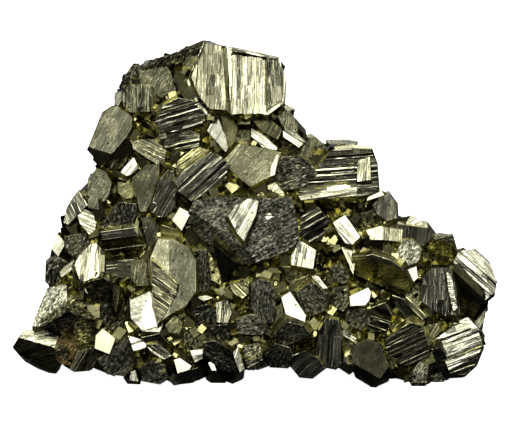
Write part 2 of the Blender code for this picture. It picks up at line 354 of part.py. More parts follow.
LOWER_CRYSTALS = (
    Crystal("gap_block", ((36.8, 66.4), (39.2, 66.6), (40.0, 70.0), (38.0, 71.6), (36.8, 69.0)),
            turn=(-2, -6), rise=1.6),
    Crystal("small_olive", ((37.8, 66.0), (39.2, 65.2), (40.0, 66.8), (38.8, 67.6)),
            turn=(-4, 6), rise=2.8),
    Crystal("lined_chip", ((38.0, 70.0), (40.6, 69.6), (40.6, 71.6), (39.0, 72.4)),
            turn=(1, 17), rise=3.4),
    Crystal("pale_lump_west", ((39.4, 59.4), (41.2, 59.0), (43.0, 59.4), (40.8, 60.2)),
            turn=(0, 17), rise=2.6),
    Crystal("coal_block", ((38.2, 61.8), (42.0, 60.6), (43.4, 62.6), (42.6, 65.6), (39.4, 64.6)),
            turn=(0, -16), rise=2.0),
    Crystal("striped_small", ((43.2, 60.4), (45.6, 60.0), (46.4, 62.4), (45.6, 64.6), (43.4, 64.4)),
            turn=(2, 12), rise=2.4),
    Crystal("coal_small", ((41.0, 67.0), (43.0, 65.0), (45.6, 64.8), (46.4, 67.0), (44.0, 68.4)),
            turn=(0, -14), rise=2.6),
    Crystal("black_boat", ((40.6, 68.4), (43.0, 68.0), (46.4, 70.0), (48.4, 73.0), (47.0, 74.4),
                           (44.4, 74.0), (41.0, 71.0)), turn=(2, -18), rise=3.4, flare=12),
    Crystal("boat_rail", ((46.6, 70.4), (47.6, 69.2), (48.0, 70.4), (49.0, 73.6), (48.0, 74.4),
                          (47.0, 72.0)), turn=(12, 10), rise=3.4, flare=12),
    Crystal("foot_white_chip", ((41.6, 72.4), (42.6, 72.0), (43.4, 74.0), (42.4, 74.0)),
            turn=(-4, 17), rise=2.8, flare=12),
    Crystal("nest_block", ((48.6, 69.0), (52.0, 68.4), (52.6, 70.8), (50.6, 72.4), (49.0, 71.6)),
            turn=(0, 4), rise=1.4),
    Crystal("nest_foot", ((49.0, 72.0), (52.4, 71.4), (53.6, 73.2), (51.6, 73.9), (49.4, 73.6)),
            turn=(-2, -14), rise=2.0, flare=12),
    Crystal("low_pentagon", ((54.6, 67.0), (57.2, 64.2), (60.6, 65.0), (62.0, 66.6), (60.0, 68.0),
                             (57.0, 69.0), (55.0, 68.0)), turn=(0, -22), rise=4.2),
    Crystal("foot_coal", ((53.0, 71.0), (55.0, 68.6), (58.0, 69.4), (59.0, 72.0), (57.6, 73.6),
                          (54.0, 73.4)), turn=(0, -18), rise=2.6, flare=12),
    Crystal("foot_lined", ((58.4, 71.0), (61.0, 70.0), (63.6, 71.6), (65.0, 73.6), (62.4, 75.6),
                           (60.0, 75.4), (58.2, 73.2)), turn=(0, -10), rise=3.4, flare=12),
    Crystal("dark_fan", ((63.8, 66.0), (65.2, 63.4), (67.6, 64.0), (68.4, 68.0), (69.0, 72.4),
                         (67.0, 73.6), (64.0, 73.0), (63.2, 70.0)), turn=(0, -5), rise=3.4, flare=16),
    Crystal("lined_strip", ((68.0, 66.0), (69.4, 65.8), (71.4, 67.6), (70.6, 68.4), (68.2, 67.0)),
            turn=(2, 12), rise=2.4),
    Crystal("strip_shadow", ((68.4, 68.2), (70.6, 68.2), (70.6, 70.0), (69.0, 70.6)),
            turn=(0, -10), rise=1.6),
    Crystal("foot_leaf", ((68.4, 71.0), (70.0, 69.8), (70.4, 70.4), (69.0, 71.4)),
            turn=(-6, 14), rise=3.0),
    Crystal("hollow_block", ((69.4, 62.0), (73.0, 61.6), (74.0, 64.4), (72.0, 66.0), (69.0, 64.6)),
            turn=(0, -8), rise=2.0),
    Crystal("barred_block", ((73.0, 62.0), (77.0, 60.4), (78.4, 63.0), (77.6, 66.0), (74.4, 66.4),
                             (72.4, 64.4)), turn=(0, -10), rise=2.4),
    Crystal("dark_drum", ((77.0, 68.0), (80.0, 65.6), (82.0, 64.4), (84.4, 65.0), (85.6, 69.0),
                          (85.6, 71.2), (81.0, 73.2), (78.4, 72.0), (77.0, 70.0)),
            turn=(-2, -5), rise=4.4),
    Crystal("foot_pentagon", ((71.0, 68.6), (73.0, 68.0), (75.6, 68.6), (77.0, 71.6), (77.6, 73.2),
                              (75.6, 75.6), (74.6, 77.4), (73.0, 75.4), (70.4, 72.6), (70.2, 70.4)),
            turn=(-2, 1), rise=6.0, flare=14,
            bevels=(((70.0, 72.2), (75.8, 75.6), -40), ((75.4, 68.0), (77.8, 73.4), 34))),
    Crystal("foot_wing", ((70.0, 72.8), (75.6, 75.6), (78.6, 73.6), (77.6, 76.2), (74.6, 77.6),
                          (71.0, 75.4)), turn=(0, -30), rise=4.0, flare=8),
    Crystal("foot_nest_east", ((82.0, 74.4), (84.0, 72.0), (85.6, 73.0), (85.2, 76.4), (82.8, 77.2)),
            turn=(-3, 2), rise=5.0, flare=14),
    Crystal("foot_nest_tip", ((82.0, 76.4), (85.4, 76.4), (84.6, 78.0), (82.4, 77.6)),
            turn=(0, -20), rise=4.6, flare=8),
    Crystal("foot_far_east", ((86.0, 75.0), (88.4, 74.4), (88.8, 76.8), (86.8, 77.2)),
            turn=(2, -2), rise=1.8, flare=12),
    Crystal("foot_east_wedge", ((88.0, 75.4), (91.4, 74.4), (89.6, 76.0), (88.4, 76.4)),
            turn=(4, -16), rise=1.0, flare=10),
    Crystal("coal_round", ((85.6, 70.0), (88.0, 69.4), (89.2, 71.0), (89.2, 73.6), (88.0, 74.6),
                           (86.0, 73.0)), turn=(0, -24), rise=3.0),
    Crystal("south_east_block", ((86.6, 68.0), (91.0, 65.0), (95.6, 65.8), (96.6, 69.0), (95.2, 72.4),
                                 (93.0, 74.4), (90.0, 74.6), (89.2, 70.6)),
            turn=(3, 14), rise=3.8, flare=10, bevels=(((95.8, 70.8), (89.0, 74.4), 36),)),
    Crystal("south_east_cap", ((90.6, 64.6), (93.6, 63.4), (96.0, 66.0), (94.0, 67.0), (91.4, 66.4)),
            turn=(4, 19), rise=2.6, flare=12),
    Crystal("south_east_nub", ((95.8, 65.6), (97.1, 67.2), (96.8, 70.0), (95.4, 69.2)),
            turn=(15, -14), rise=1.0, flare=8),
    Crystal("east_sliver", ((95.0, 64.4), (97.4, 61.6), (96.8, 65.0), (95.6, 66.0)),
            turn=(8, 8), rise=1.0, flare=8),
    Crystal("olive_bracket", ((84.6, 65.0), (87.6, 64.6), (88.0, 66.0), (86.0, 68.0), (84.8, 67.0)),
            turn=(-5, 6), rise=3.2),
)

FRONT_CRYSTALS = (
    TOP_CRYSTALS + UPPER_CRYSTALS + MIDDLE_CRYSTALS + LOWER_LEFT_CRYSTALS + LOWER_CRYSTALS
)

# Ribs on the striated faces: the crystal, the way its ribs run (degrees anticlockwise from
# rightwards), and for each rib where it starts and ends across that way and how high it stands.
RIBS = (
    ("summit_block", 90, ((4.6, 7.6, 0.3), (-0.6, 1.4, 0.4), (-4.6, -3.4, 0.35))),
    ("upper_left_ribs", 88, ((0.4, 1.6, 0.3),)),
    ("ribbed_slab", 17, ((1.0, 1.9, 0.35), (-1.6, -0.7, 0.3))),
    ("ribbed_block", 42, ((1.6, 2.6, 0.35), (-0.5, 0.5, 0.45), (-2.7, -1.7, 0.4))),
    ("great_ribs", 4, ((2.2, 3.3, 0.4), (0.2, 1.1, 0.35), (-2.0, -1.1, 0.45))),
    ("long_prism", 8, ((-1.8, -0.9, 0.3),)),
    ("striated_cube", 84, ((0.6, 1.4, 0.3), (-1.2, -0.5, 0.3))),
    ("east_ribs", -42, ((0.8, 1.8, 0.35), (-1.8, -0.9, 0.35))),
    ("east_pillar", 87, ((0.5, 1.4, 0.3),)),
    ("south_east_block", 22, ((1.4, 2.4, 0.35), (-1.8, -0.8, 0.4))),
    ("dark_drum", 25, ((0.6, 1.6, 0.3),)),
    ("west_pale_plate", 60, ((0.2, 1.2, 0.3),)),
    ("dark_fan", 86, ((0.2, 1.0, 0.3),)),
)

# The specimen's outline on the sheet, clockwise from its left tip.
SILHOUETTE = (
    (2.6, 68.8), (6.4, 64.6), (8.4, 60.0), (8.8, 53.4), (10.4, 48.6), (12.2, 44.4), (14.4, 39.2),
    (17.6, 34.8), (18.4, 30.6), (17.4, 29.2), (19.4, 25.2), (20.4, 22.2), (22.4, 18.4), (23.6, 16.4),
    (26.6, 12.4), (31.6, 10.8), (35.6, 9.8), (39.4, 7.8), (43.2, 7.8), (56.2, 11.2), (57.2, 20.0),
    (59.8, 24.0), (62.6, 27.2), (66.2, 29.0), (70.8, 29.2), (74.6, 31.0), (75.6, 37.6), (78.6, 39.2),
    (80.0, 43.0), (85.6, 45.2), (91.6, 48.2), (95.6, 50.0), (98.2, 52.4), (99.4, 56.4), (98.0, 60.0),
    (97.0, 64.0), (96.8, 70.0), (93.0, 74.4), (88.8, 76.8), (82.6, 77.6), (77.6, 76.6), (74.0, 77.0),
    (69.0, 74.2), (62.4, 75.4), (58.2, 73.4), (48.0, 74.2), (39.6, 74.0), (35.2, 76.8), (28.4, 76.2),
    (23.6, 75.2), (18.0, 73.8), (9.0, 73.2), (4.4, 70.6),
)

# Broken knobs of massive pyrite along the upper left rim: x, down and radius on the sheet.
RIM_KNOBS = (
    (24.4, 18.4, 1.7), (25.6, 15.6, 2.3), (28.2, 14.2, 2.0), (30.0, 13.6, 2.6), (33.2, 12.2, 2.4),
    (35.6, 11.4, 1.9), (37.6, 11.0, 2.8), (40.6, 9.6, 2.4), (42.8, 9.8, 2.0),
)

# The inner mass, as two convex bodies: outlines on the sheet.
MASS_OUTLINES = (
    ((12.0, 77.0), (17.5, 52.0), (22.0, 38.0), (29.0, 24.0), (35.0, 18.0), (49.0, 18.0),
     (52.0, 30.0), (58.0, 45.0), (60.0, 77.0)),
    ((50.0, 77.0), (50.0, 36.0), (70.0, 38.0), (74.0, 47.0), (88.0, 55.0), (92.0, 61.0),
     (91.0, 77.0)),
)


def on_sheet(x, down):
    """A sheet position as (x, up) from the middle of the sheet's foot."""
    return x - SHEET_MIDDLE, SHEET_FOOT - down


def front_of(x, up):
    """Where the general crystal surface lies."""
    return FRONT_AT_FOOT - FRONT_SLOPE * up - FRONT_SIDE_FALL * (x / HALF_WIDTH) ** 2


def back_of(x, up):
    """Where the broken back lies."""
    return BACK_AT_FOOT + BACK_SLOPE * up + BACK_SIDE_RISE * (x / HALF_WIDTH) ** 2


def room_inside(points):
    """For each point (x, up), how far inside the silhouette it lies; below zero is outside."""
    corners = numpy.array([on_sheet(*point) for point in SILHOUETTE])
    nearest = numpy.full(len(points), numpy.inf)
    inside = numpy.zeros(len(points), bool)
    for start, end in zip(corners, numpy.roll(corners, -1, axis=0)):
        along = end - start
        share = numpy.clip((points - start) @ along / (along @ along), 0, 1)
        gap = numpy.hypot(*(points - start - share[:, None] * along).T)
        nearest = numpy.minimum(nearest, gap)
        crosses = (start[1] > points[:, 1]) != (end[1] > points[:, 1])
        height = along[1] or 1.0
        across = start[0] + (points[:, 1] - start[1]) / height * along[0]
        inside ^= crosses & (points[:, 0] < across)
    return numpy.where(inside, nearest, -nearest)


def clear_of(outline, points):
    """How far each point lies outside a convex outline that runs anticlockwise."""
    corners = numpy.array(outline)
    furthest = numpy.full(len(points), -numpy.inf)
    for start, end in zip(corners, numpy.roll(corners, -1, axis=0)):
        along = (end - start) / numpy.hypot(*(end - start))
        outward = numpy.array((along[1], -along[0]))
        furthest = numpy.maximum(furthest, (points - start) @ outward)
    return furthest


def sheet_grid(step):
    """Points (x, up) spread evenly over the sheet."""
    across = numpy.arange(-HALF_WIDTH - 2, HALF_WIDTH + 2, step)
    upward = numpy.arange(0, SHEET_FOOT - 6, step)
    return numpy.array([(x, up) for x in across for up in upward])


def hull(points):
    """The convex outline of flat points, anticlockwise."""
    ordered = sorted(points)

    def chain(run):
        kept = []
        for x, y in run:
            while len(kept) > 1 and (
                (kept[-1][0] - kept[-2][0]) * (y - kept[-2][1])
                <= (kept[-1][1] - kept[-2][1]) * (x - kept[-2][0])
            ):
                kept.pop()
            kept.append((x, y))
        return kept[:-1]

    return chain(ordered) + chain(ordered[::-1])


def block(middle, size):
    """A new mesh holding one cube."""
    solid = bmesh.new()
    bmesh.ops.create_cube(solid, size=size, matrix=Matrix.Translation(middle))
    return solid


def cut(solid, point, outward):
    """Cuts away what lies beyond a plane and closes the cut with a flat face."""
    parts = solid.verts[:] + solid.edges[:] + solid.faces[:]
    made = bmesh.ops.bisect_plane(
        solid, geom=parts, plane_co=point, plane_no=outward, dist=1e-5, clear_outer=True
    )
    rim = [item for item in made["geom_cut"] if isinstance(item, bmesh.types.BMEdge)]
    if rim:
        bmesh.ops.contextual_create(solid, geom=rim)


def convex(solid):
    """Rebuilds a convex body from its corners alone, as one closed surface with flat faces."""
    bmesh.ops.remove_doubles(solid, verts=solid.verts, dist=MERGE_WITHIN)
    corners = [corner.co.copy() for corner in solid.verts]
    solid.clear()
    for corner in corners:
        solid.verts.new(corner)
    made = bmesh.ops.convex_hull(solid, input=solid.verts)
    spare = [item for item in made["geom_interior"] if isinstance(item, bmesh.types.BMVert)]
    bmesh.ops.delete(solid, geom=spare, context="VERTS")
    bmesh.ops.dissolve_limit(
        solid, angle_limit=math.radians(FLAT_WITHIN), verts=solid.verts, edges=solid.edges
    )
    return solid


def crystal_solid(crystal, rib=None, way=0.0):
    """The crystal as cut planes: its face, bevels, and sides that spread to a girdle and close.
    With a rib (start, end, height) it's the one band of the crystal, raised by the height."""
    outline = hull([on_sheet(*point) for point in crystal.outline])
    middle_x = sum(x for x, _ in outline) / len(outline)
    middle_up = sum(up for _, up in outline) / len(outline)
    right, up_turn = (math.tan(math.radians(angle)) for angle in crystal.turn)
    normal = Vector((right, up_turn, 1)).normalized()
    front = front_of(middle_x, middle_up) + crystal.rise

    def on_face(x, up):
        return Vector((x, up, front - right * (x - middle_x) - up_turn * (up - middle_up)))

    middle = on_face(middle_x, middle_up)
    corners = [on_face(*point) for point in outline]
    raised = normal * (rib[2] if rib else 0)
    breadth = min(
        max(x for x, _ in outline) - min(x for x, _ in outline),
        max(up for _, up in outline) - min(up for _, up in outline),
    )
    small = breadth < SMALL_BREADTH
    girdle = GIRDLE_SHARE * breadth
    flare = math.radians(SMALL_FLARE if small else crystal.flare)
    depth = crystal.rise + (SMALL_DEPTH if small else CRYSTAL_DEPTH)

    solid = block(middle - normal * depth / 2, BLOCK_SIZE)
    cut(solid, middle + raised, normal)
    cut(solid, middle - normal * depth, -normal)
    if rib:
        along = Vector((math.cos(math.radians(way)), math.sin(math.radians(way)), 0))
        across = normal.cross(along).normalized()
        cut(solid, middle + across * rib[0], -across)
        cut(solid, middle + across * rib[1], across)
    for start, end in zip(corners, corners[1:] + corners[:1]):
        outward = (end - start).cross(normal).normalized()
        cut(solid, start, outward * math.cos(flare) + normal * math.sin(flare))
        if not small:
            widest = start - normal * girdle + outward * girdle * math.tan(flare)
            cut(solid, widest, outward * math.cos(flare) - normal * math.sin(flare))
    for start, end, angle in crystal.bevels:
        line = on_face(*on_sheet(*end)) - on_face(*on_sheet(*start))
        left = normal.cross(line).normalized() * math.copysign(1, angle)
        fall = math.radians(abs(angle))
        on_line = on_face(*on_sheet(*start)) + raised
        cut(solid, on_line, normal * math.cos(fall) + left * math.sin(fall))
    return convex(solid)


def rib_solids():
    """The raised ribs of the striated faces."""
    crystals = {crystal.name: crystal for crystal in FRONT_CRYSTALS}
    return [crystal_solid(crystals[name], rib, way) for name, way, ribs in RIBS for rib in ribs]


def small_cube(middle, radius, turned):
    """A small cube in any direction."""
    solid = bmesh.new()
    bmesh.ops.create_cube(solid, size=2 * radius, matrix=Matrix.Translation(middle) @ turned)
    return solid


def fragment(middle, radii, corners, dice):
    """A blocky piece of broken massive pyrite: the hull of corners spread over a rounded box."""
    solid = bmesh.new()
    spin = Matrix.Rotation(dice.uniform(0, math.tau), 3, "Z")
    for number in range(corners):
        along = 1 - 2 * (number + 0.5) / corners
        around = number * math.pi * (3 - math.sqrt(5)) + dice.uniform(-CORNER_DRIFT, CORNER_DRIFT)
        ring = math.sqrt(1 - along * along)
        way = Vector((ring * math.cos(around), ring * math.sin(around), along))
        squareness = sum(abs(part) ** 4 for part in way) ** 0.25
        way = spin @ (way / squareness * dice.uniform(*CORNER_REACH))
        solid.verts.new(middle + Vector(part * radius for part, radius in zip(way, radii)))
    return convex(solid)


def random_turn(dice):
    """A random rotation."""
    angles = [dice.uniform(0, math.tau) for _ in range(3)]
    return Euler(angles).to_matrix().to_4x4()


def inner_masses():
    """The inner mass that every crystal and fragment is rooted in."""
    masses = []
    for outline in MASS_OUTLINES:
        solid = bmesh.new()
        for x, up in (on_sheet(*point) for point in outline):
            solid.verts.new((x, up, front_of(x, up) - CORE_BEHIND_FRONT - 1.0))
            solid.verts.new((x, up, back_of(x, up) + CORE_INSIDE_BACK))
        convex(solid)
        cut(solid, Vector((0, UNDERCUT_UP, UNDERCUT_BACK_TO)), Vector(UNDERCUT_SLOPE))
        masses.append(solid)
    return masses


def massive(x, up, radius, far, corners, dice):
    """A fragment that reaches from just behind the crystals to far, undercut at the foot."""
    near = front_of(x, up) - CORE_BEHIND_FRONT
    middle = Vector((x, up, (near + far) / 2))
    piece = fragment(middle, (radius, radius, (near - far) / 2), corners, dice)
    cut(piece, Vector((0, UNDERCUT_UP, UNDERCUT_BACK_TO)), Vector(UNDERCUT_SLOPE))
    return piece


def mass_fragments(dice):
    """The massive pyrite: blocky fragments from the crystals to the broken back."""
    grid = sheet_grid(MASS_SPACING)
    drift = MASS_SPACING / 5
    shifts = [(dice.uniform(-drift, drift), dice.uniform(-drift, drift)) for _ in grid]
    grid = grid + numpy.array(shifts) + (0, MASS_SPACING / 2)
    fragments = []
    above_foot = numpy.maximum(grid, (-HALF_WIDTH, MASS_RADIUS * 1.5))
    for (x, up), room in zip(grid, room_inside(above_foot)):
        radius = min(MASS_RADIUS * dice.uniform(0.9, 1.15), room - MASS_EDGE_MARGIN)
        far = back_of(x, up) + dice.uniform(*BACK_RELIEF)
        if radius > MASS_RADIUS / 2:
            fragments.append(massive(x, up, radius, far, MASS_CORNERS, dice))
    return fragments


def edge_fragments(dice):
    """Smaller fragments all round the edge, behind the outermost crystals."""
    corners = [Vector(on_sheet(*point)) for point in SILHOUETTE]
    fragments = []
    walked = 0.0
    for start, end in zip(corners, corners[1:] + corners[:1]):
        along = end - start
        inward = Vector((along.y, -along.x)).normalized()
        while walked < along.length:
            site = start + along.normalized() * walked + inward * EDGE_INSET
            radius = EDGE_RADIUS * dice.uniform(0.8, 1.1)
            far = back_of(*site) * dice.uniform(*EDGE_BACK_SHARE)
            if site.y > UNDERCUT_UP + 2:
                fragments.append(massive(*site, radius, far, EDGE_CORNERS, dice))
            walked += EDGE_SPACING
        walked -= along.length
    return fragments


def rim_knobs(dice):
    """The dark broken rim behind the upper left crystals."""
    knobs = []
    for x, down, radius in RIM_KNOBS:
        across, up = on_sheet(x, down)
        depth = dice.uniform(*KNOB_DEPTH)
        middle = Vector((across, up, front_of(across, up) - depth - dice.uniform(-0.8, 0.8)))
        knobs.append(fragment(middle, (radius, radius, depth), KNOB_CORNERS, dice))
    return knobs


def gap_crystals(dice):
    """Small cubes wherever the large crystals leave a gap, the widest gap first."""
    grid = sheet_grid(GRID_STEP)
    clearance = room_inside(grid) - GAP_EDGE_MARGIN
    for crystal in FRONT_CRYSTALS:
        outline = hull([on_sheet(*point) for point in crystal.outline])
        clearance = numpy.minimum(clearance, clear_of(outline, grid))
    crystals = []
    while clearance.max() > SMALLEST_GAP:
        widest = clearance.argmax()
        x, up = grid[widest]
        radius = min(max(clearance[widest] * FILLER_OVER_GAP, FILLER_SMALLEST), FILLER_LARGEST)
        sunk = radius * FILLER_SUNK + dice.uniform(-FILLER_SUNK, FILLER_SUNK)
        middle = Vector((x, up, front_of(x, up) - sunk))
        crystals.append(small_cube(middle, radius, random_turn(dice)))
        taken = numpy.hypot(grid[:, 0] - x, grid[:, 1] - up) - radius * FILLER_COVERS
        clearance = numpy.minimum(clearance, taken)
    return crystals


def back_crystals(dice):
    """A few crystals half buried in the broken back and on its edges."""
    across, upward = BACK_CUBE_AREA
    sites = [(dice.uniform(*across), dice.uniform(*upward)) for _ in range(BACK_CUBES)]
    crystals = []
    for (x, up), room in zip(sites, room_inside(numpy.array(sites))):
        radius = dice.uniform(*BACK_CUBE_SIZE)
        turned = random_turn(dice)
        if room > radius + BACK_CUBE_MARGIN:
            middle = Vector((x, up, back_of(x, up) + BACK_CUBE_MARGIN))
            crystals.append(small_cube(middle, radius, turned))
    return crystals


def sheet_to_part():
    """From the sheet (x, up, front, in millimetres) to the standing specimen, in metres."""
    lean = math.radians(SHEET_LEAN)
    turn = Matrix((
        (1, 0, 0),
        (0, math.sin(lean), -math.cos(lean)),
        (0, math.cos(lean), math.sin(lean)),
    )).to_4x4()
    ground = Matrix.Translation((0, 0, -GROUND_BELOW_SHEET_FOOT * MM))
    return ground @ turn @ Matrix.Scale(MM, 4)


def as_object(name, solid, place, collection):
    """Writes a finished bmesh into a named object."""
    bmesh.ops.transform(solid, matrix=place, verts=solid.verts)
    bmesh.ops.recalc_face_normals(solid, faces=solid.faces)
    mesh = bpy.data.meshes.new(name)
    solid.to_mesh(mesh)
    solid.free()
    made = bpy.data.objects.new(name, mesh)
    collection.objects.link(made)
    return made


def shells(solid):
    """The separate closed surfaces of a mesh, each as its list of faces."""
    found = []
    left = set(solid.faces)
    while left:
        todo = [left.pop()]
        shell = []
        while todo:
            face = todo.pop()
            shell.append(face)
            for edge in face.edges:
                for other in edge.link_faces:
                    if other in left:
                        left.remove(other)
                        todo.append(other)
        found.append(shell)
    return found


def tidy(mesh):
    """Keeps the outer surface alone, and turns every face into triangles."""
    solid = bmesh.new()
    solid.from_mesh(mesh)
    bodies = shells(solid)
    outer = max(bodies, key=lambda shell: sum(face.calc_area() for face in shell))
    inner = [face for shell in bodies if shell is not outer for face in shell]
    bmesh.ops.delete(solid, geom=inner, context="FACES")
    bmesh.ops.triangulate(solid, faces=solid.faces)
    solid.to_mesh(mesh)
    solid.free()


def boolean(target, operation, **operand):
    """Adds a Boolean modifier."""
    modifier = target.modifiers.new(operation.lower(), "BOOLEAN")
    modifier.operation = operation
    modifier.solver = "MANIFOLD"
    for key, value in operand.items():
        setattr(modifier, key, value)


def apply_modifiers(made):
    """Turns an object's modifiers into its mesh."""
    graph = bpy.context.evaluated_depsgraph_get()
    mesh = bpy.data.meshes.new_from_object(made.evaluated_get(graph))
    made.modifiers.clear()
    made.data = mesh


def pyrite():
    """Pale brass metal."""
    material = bpy.data.materials.new("pyrite")
    material.use_nodes = True
    shader = material.node_tree.nodes["Principled BSDF"]
    shader.inputs["Base Color"].default_value = (0.52, 0.47, 0.28, 1)
    shader.inputs["Metallic"].default_value = 1.0
    shader.inputs["Roughness"].default_value = 0.28
    return material


def helpers(name, solids, place, scene):
    """A collection of solids that only take part in joins."""
    collection = bpy.data.collections.new(name)
    scene.children.link(collection)
    collection.hide_render = True
    for number, solid in enumerate(solids):
        helper = as_object(f"{name}_{number}", solid, place, collection)
        helper.display_type = "WIRE"
        helper.hide_render = True
    return collection


def build_cluster():
    """Grows every crystal and lump together into the one specimen."""
    dice = random.Random(SEED)
    scene = bpy.context.scene.collection
    place = sheet_to_part()
    solids = inner_masses() + mass_fragments(dice) + edge_fragments(dice) + rim_knobs(dice)
    solids += [crystal_solid(crystal) for crystal in FRONT_CRYSTALS]
    solids += gap_crystals(dice) + back_crystals(dice)
    cluster = as_object("pyrite_cluster", solids[0], place, scene)
    growth = helpers("growth", solids[1:], place, scene)
    ribs = helpers("ribs", rib_solids(), place, scene)
    floor = bmesh.new()
    bmesh.ops.create_cube(floor, size=1.0, matrix=Matrix.Translation((0, 0, -0.5)))
    ground = helpers("ground", [floor], Matrix.Identity(4), scene)

    boolean(cluster, "UNION", operand_type="COLLECTION", collection=growth)
    apply_modifiers(cluster)
    tidy(cluster.data)
    thinning = cluster.modifiers.new("thinning", "DECIMATE")
    thinning.ratio = TRIANGLES_BEFORE_RIBS / len(cluster.data.polygons)
    apply_modifiers(cluster)
    boolean(cluster, "UNION", operand_type="COLLECTION", collection=ribs)
    boolean(cluster, "DIFFERENCE", operand_type="COLLECTION", collection=ground)
    apply_modifiers(cluster)
    tidy(cluster.data)
    cluster.data.name = "pyrite_cluster"
    cluster.data.materials.clear()
    cluster.data.materials.append(pyrite())


def main():
    for old in list(bpy.data.objects):
        bpy.data.objects.remove(old)
    build_cluster()


main()
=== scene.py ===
"""The looks of a free-standing pyrite specimen: every striated crystal, the crusts of small cubes
between them, the broken ore behind, and the studio that it is photographed in.

The crystals are laid out on a drawing sheet that faces the viewer and leans back a little. On the
sheet, x runs right and down runs down, in millimetres from its upper left corner. The third
direction, towards the viewer, is called front.
"""

import json
import math
import random
from typing import NamedTuple

import bmesh
import bpy
import numpy
from bpy.props import FloatProperty, FloatVectorProperty, IntProperty, PointerProperty
from mathutils import Euler, Matrix, Vector, noise
from mathutils.bvhtree import BVHTree

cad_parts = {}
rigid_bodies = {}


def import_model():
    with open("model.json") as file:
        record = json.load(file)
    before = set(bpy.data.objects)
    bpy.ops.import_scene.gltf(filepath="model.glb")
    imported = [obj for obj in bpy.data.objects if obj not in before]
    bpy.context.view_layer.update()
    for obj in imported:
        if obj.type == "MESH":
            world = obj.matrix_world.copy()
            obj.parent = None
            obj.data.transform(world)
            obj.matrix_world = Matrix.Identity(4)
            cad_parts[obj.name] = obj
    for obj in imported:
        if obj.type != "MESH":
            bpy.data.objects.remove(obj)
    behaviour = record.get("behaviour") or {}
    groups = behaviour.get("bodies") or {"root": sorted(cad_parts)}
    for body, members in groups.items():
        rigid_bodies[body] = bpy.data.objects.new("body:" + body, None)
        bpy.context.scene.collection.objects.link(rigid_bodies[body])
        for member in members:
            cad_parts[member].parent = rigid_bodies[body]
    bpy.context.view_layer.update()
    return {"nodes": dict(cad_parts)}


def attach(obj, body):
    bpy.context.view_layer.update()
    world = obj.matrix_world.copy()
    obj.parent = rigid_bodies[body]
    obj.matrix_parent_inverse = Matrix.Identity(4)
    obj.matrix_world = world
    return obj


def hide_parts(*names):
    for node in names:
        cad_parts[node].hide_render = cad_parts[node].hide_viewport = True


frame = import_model()

bl_info = {
    "name": "Pyrite Specimen",
    "version": (1, 0, 0),
    "blender": (4, 5, 0),
    "location": "3D View > Sidebar > Pyrite",
    "description": "Builds the visual model of a pyrite specimen and its studio",
    "category": "Add Mesh",
}

NODE = "pyrite_cluster"
BODY = "root"
MM = 0.001

# The sheet, and the general surface that the crystals follow, in millimetres and degrees. These and
# the crystals' own values are the frame's.
SHEET_LEAN = 10.0
SHEET_MIDDLE = 50.93
SHEET_FOOT = 77.6
HALF_WIDTH = 48.0
FRONT_AT_FOOT = 20.0
FRONT_SLOPE = 0.10
FRONT_SIDE_FALL = 9.0
GROUND_BELOW_SHEET_FOOT = 4.0
FLARE = 20.0
GIRDLE_SHARE = 0.24
CRYSTAL_DEPTH = 10.0
BLOCK_SIZE = 80.0
SMALL_BREADTH = 5.2
SMALL_FLARE = 9.0
SMALL_DEPTH = 5.5
MERGE_WITHIN = 0.06
FLAT_WITHIN = 0.6
SEED = 9


class Crystal(NamedTuple):
    """A crystal by its main face: the face's outline on the sheet, which way the face is turned
    (degrees to the right, degrees up), how far it stands in front of the general surface, how much
    its sides spread behind the face, and its bevels: a line across the face, given by two points,
    and the angle by which everything left of that line falls away."""

    name: str
    outline: tuple
    turn: tuple = (0, 0)
    rise: float = 0.0
    flare: float = FLARE
    bevels: tuple = ()


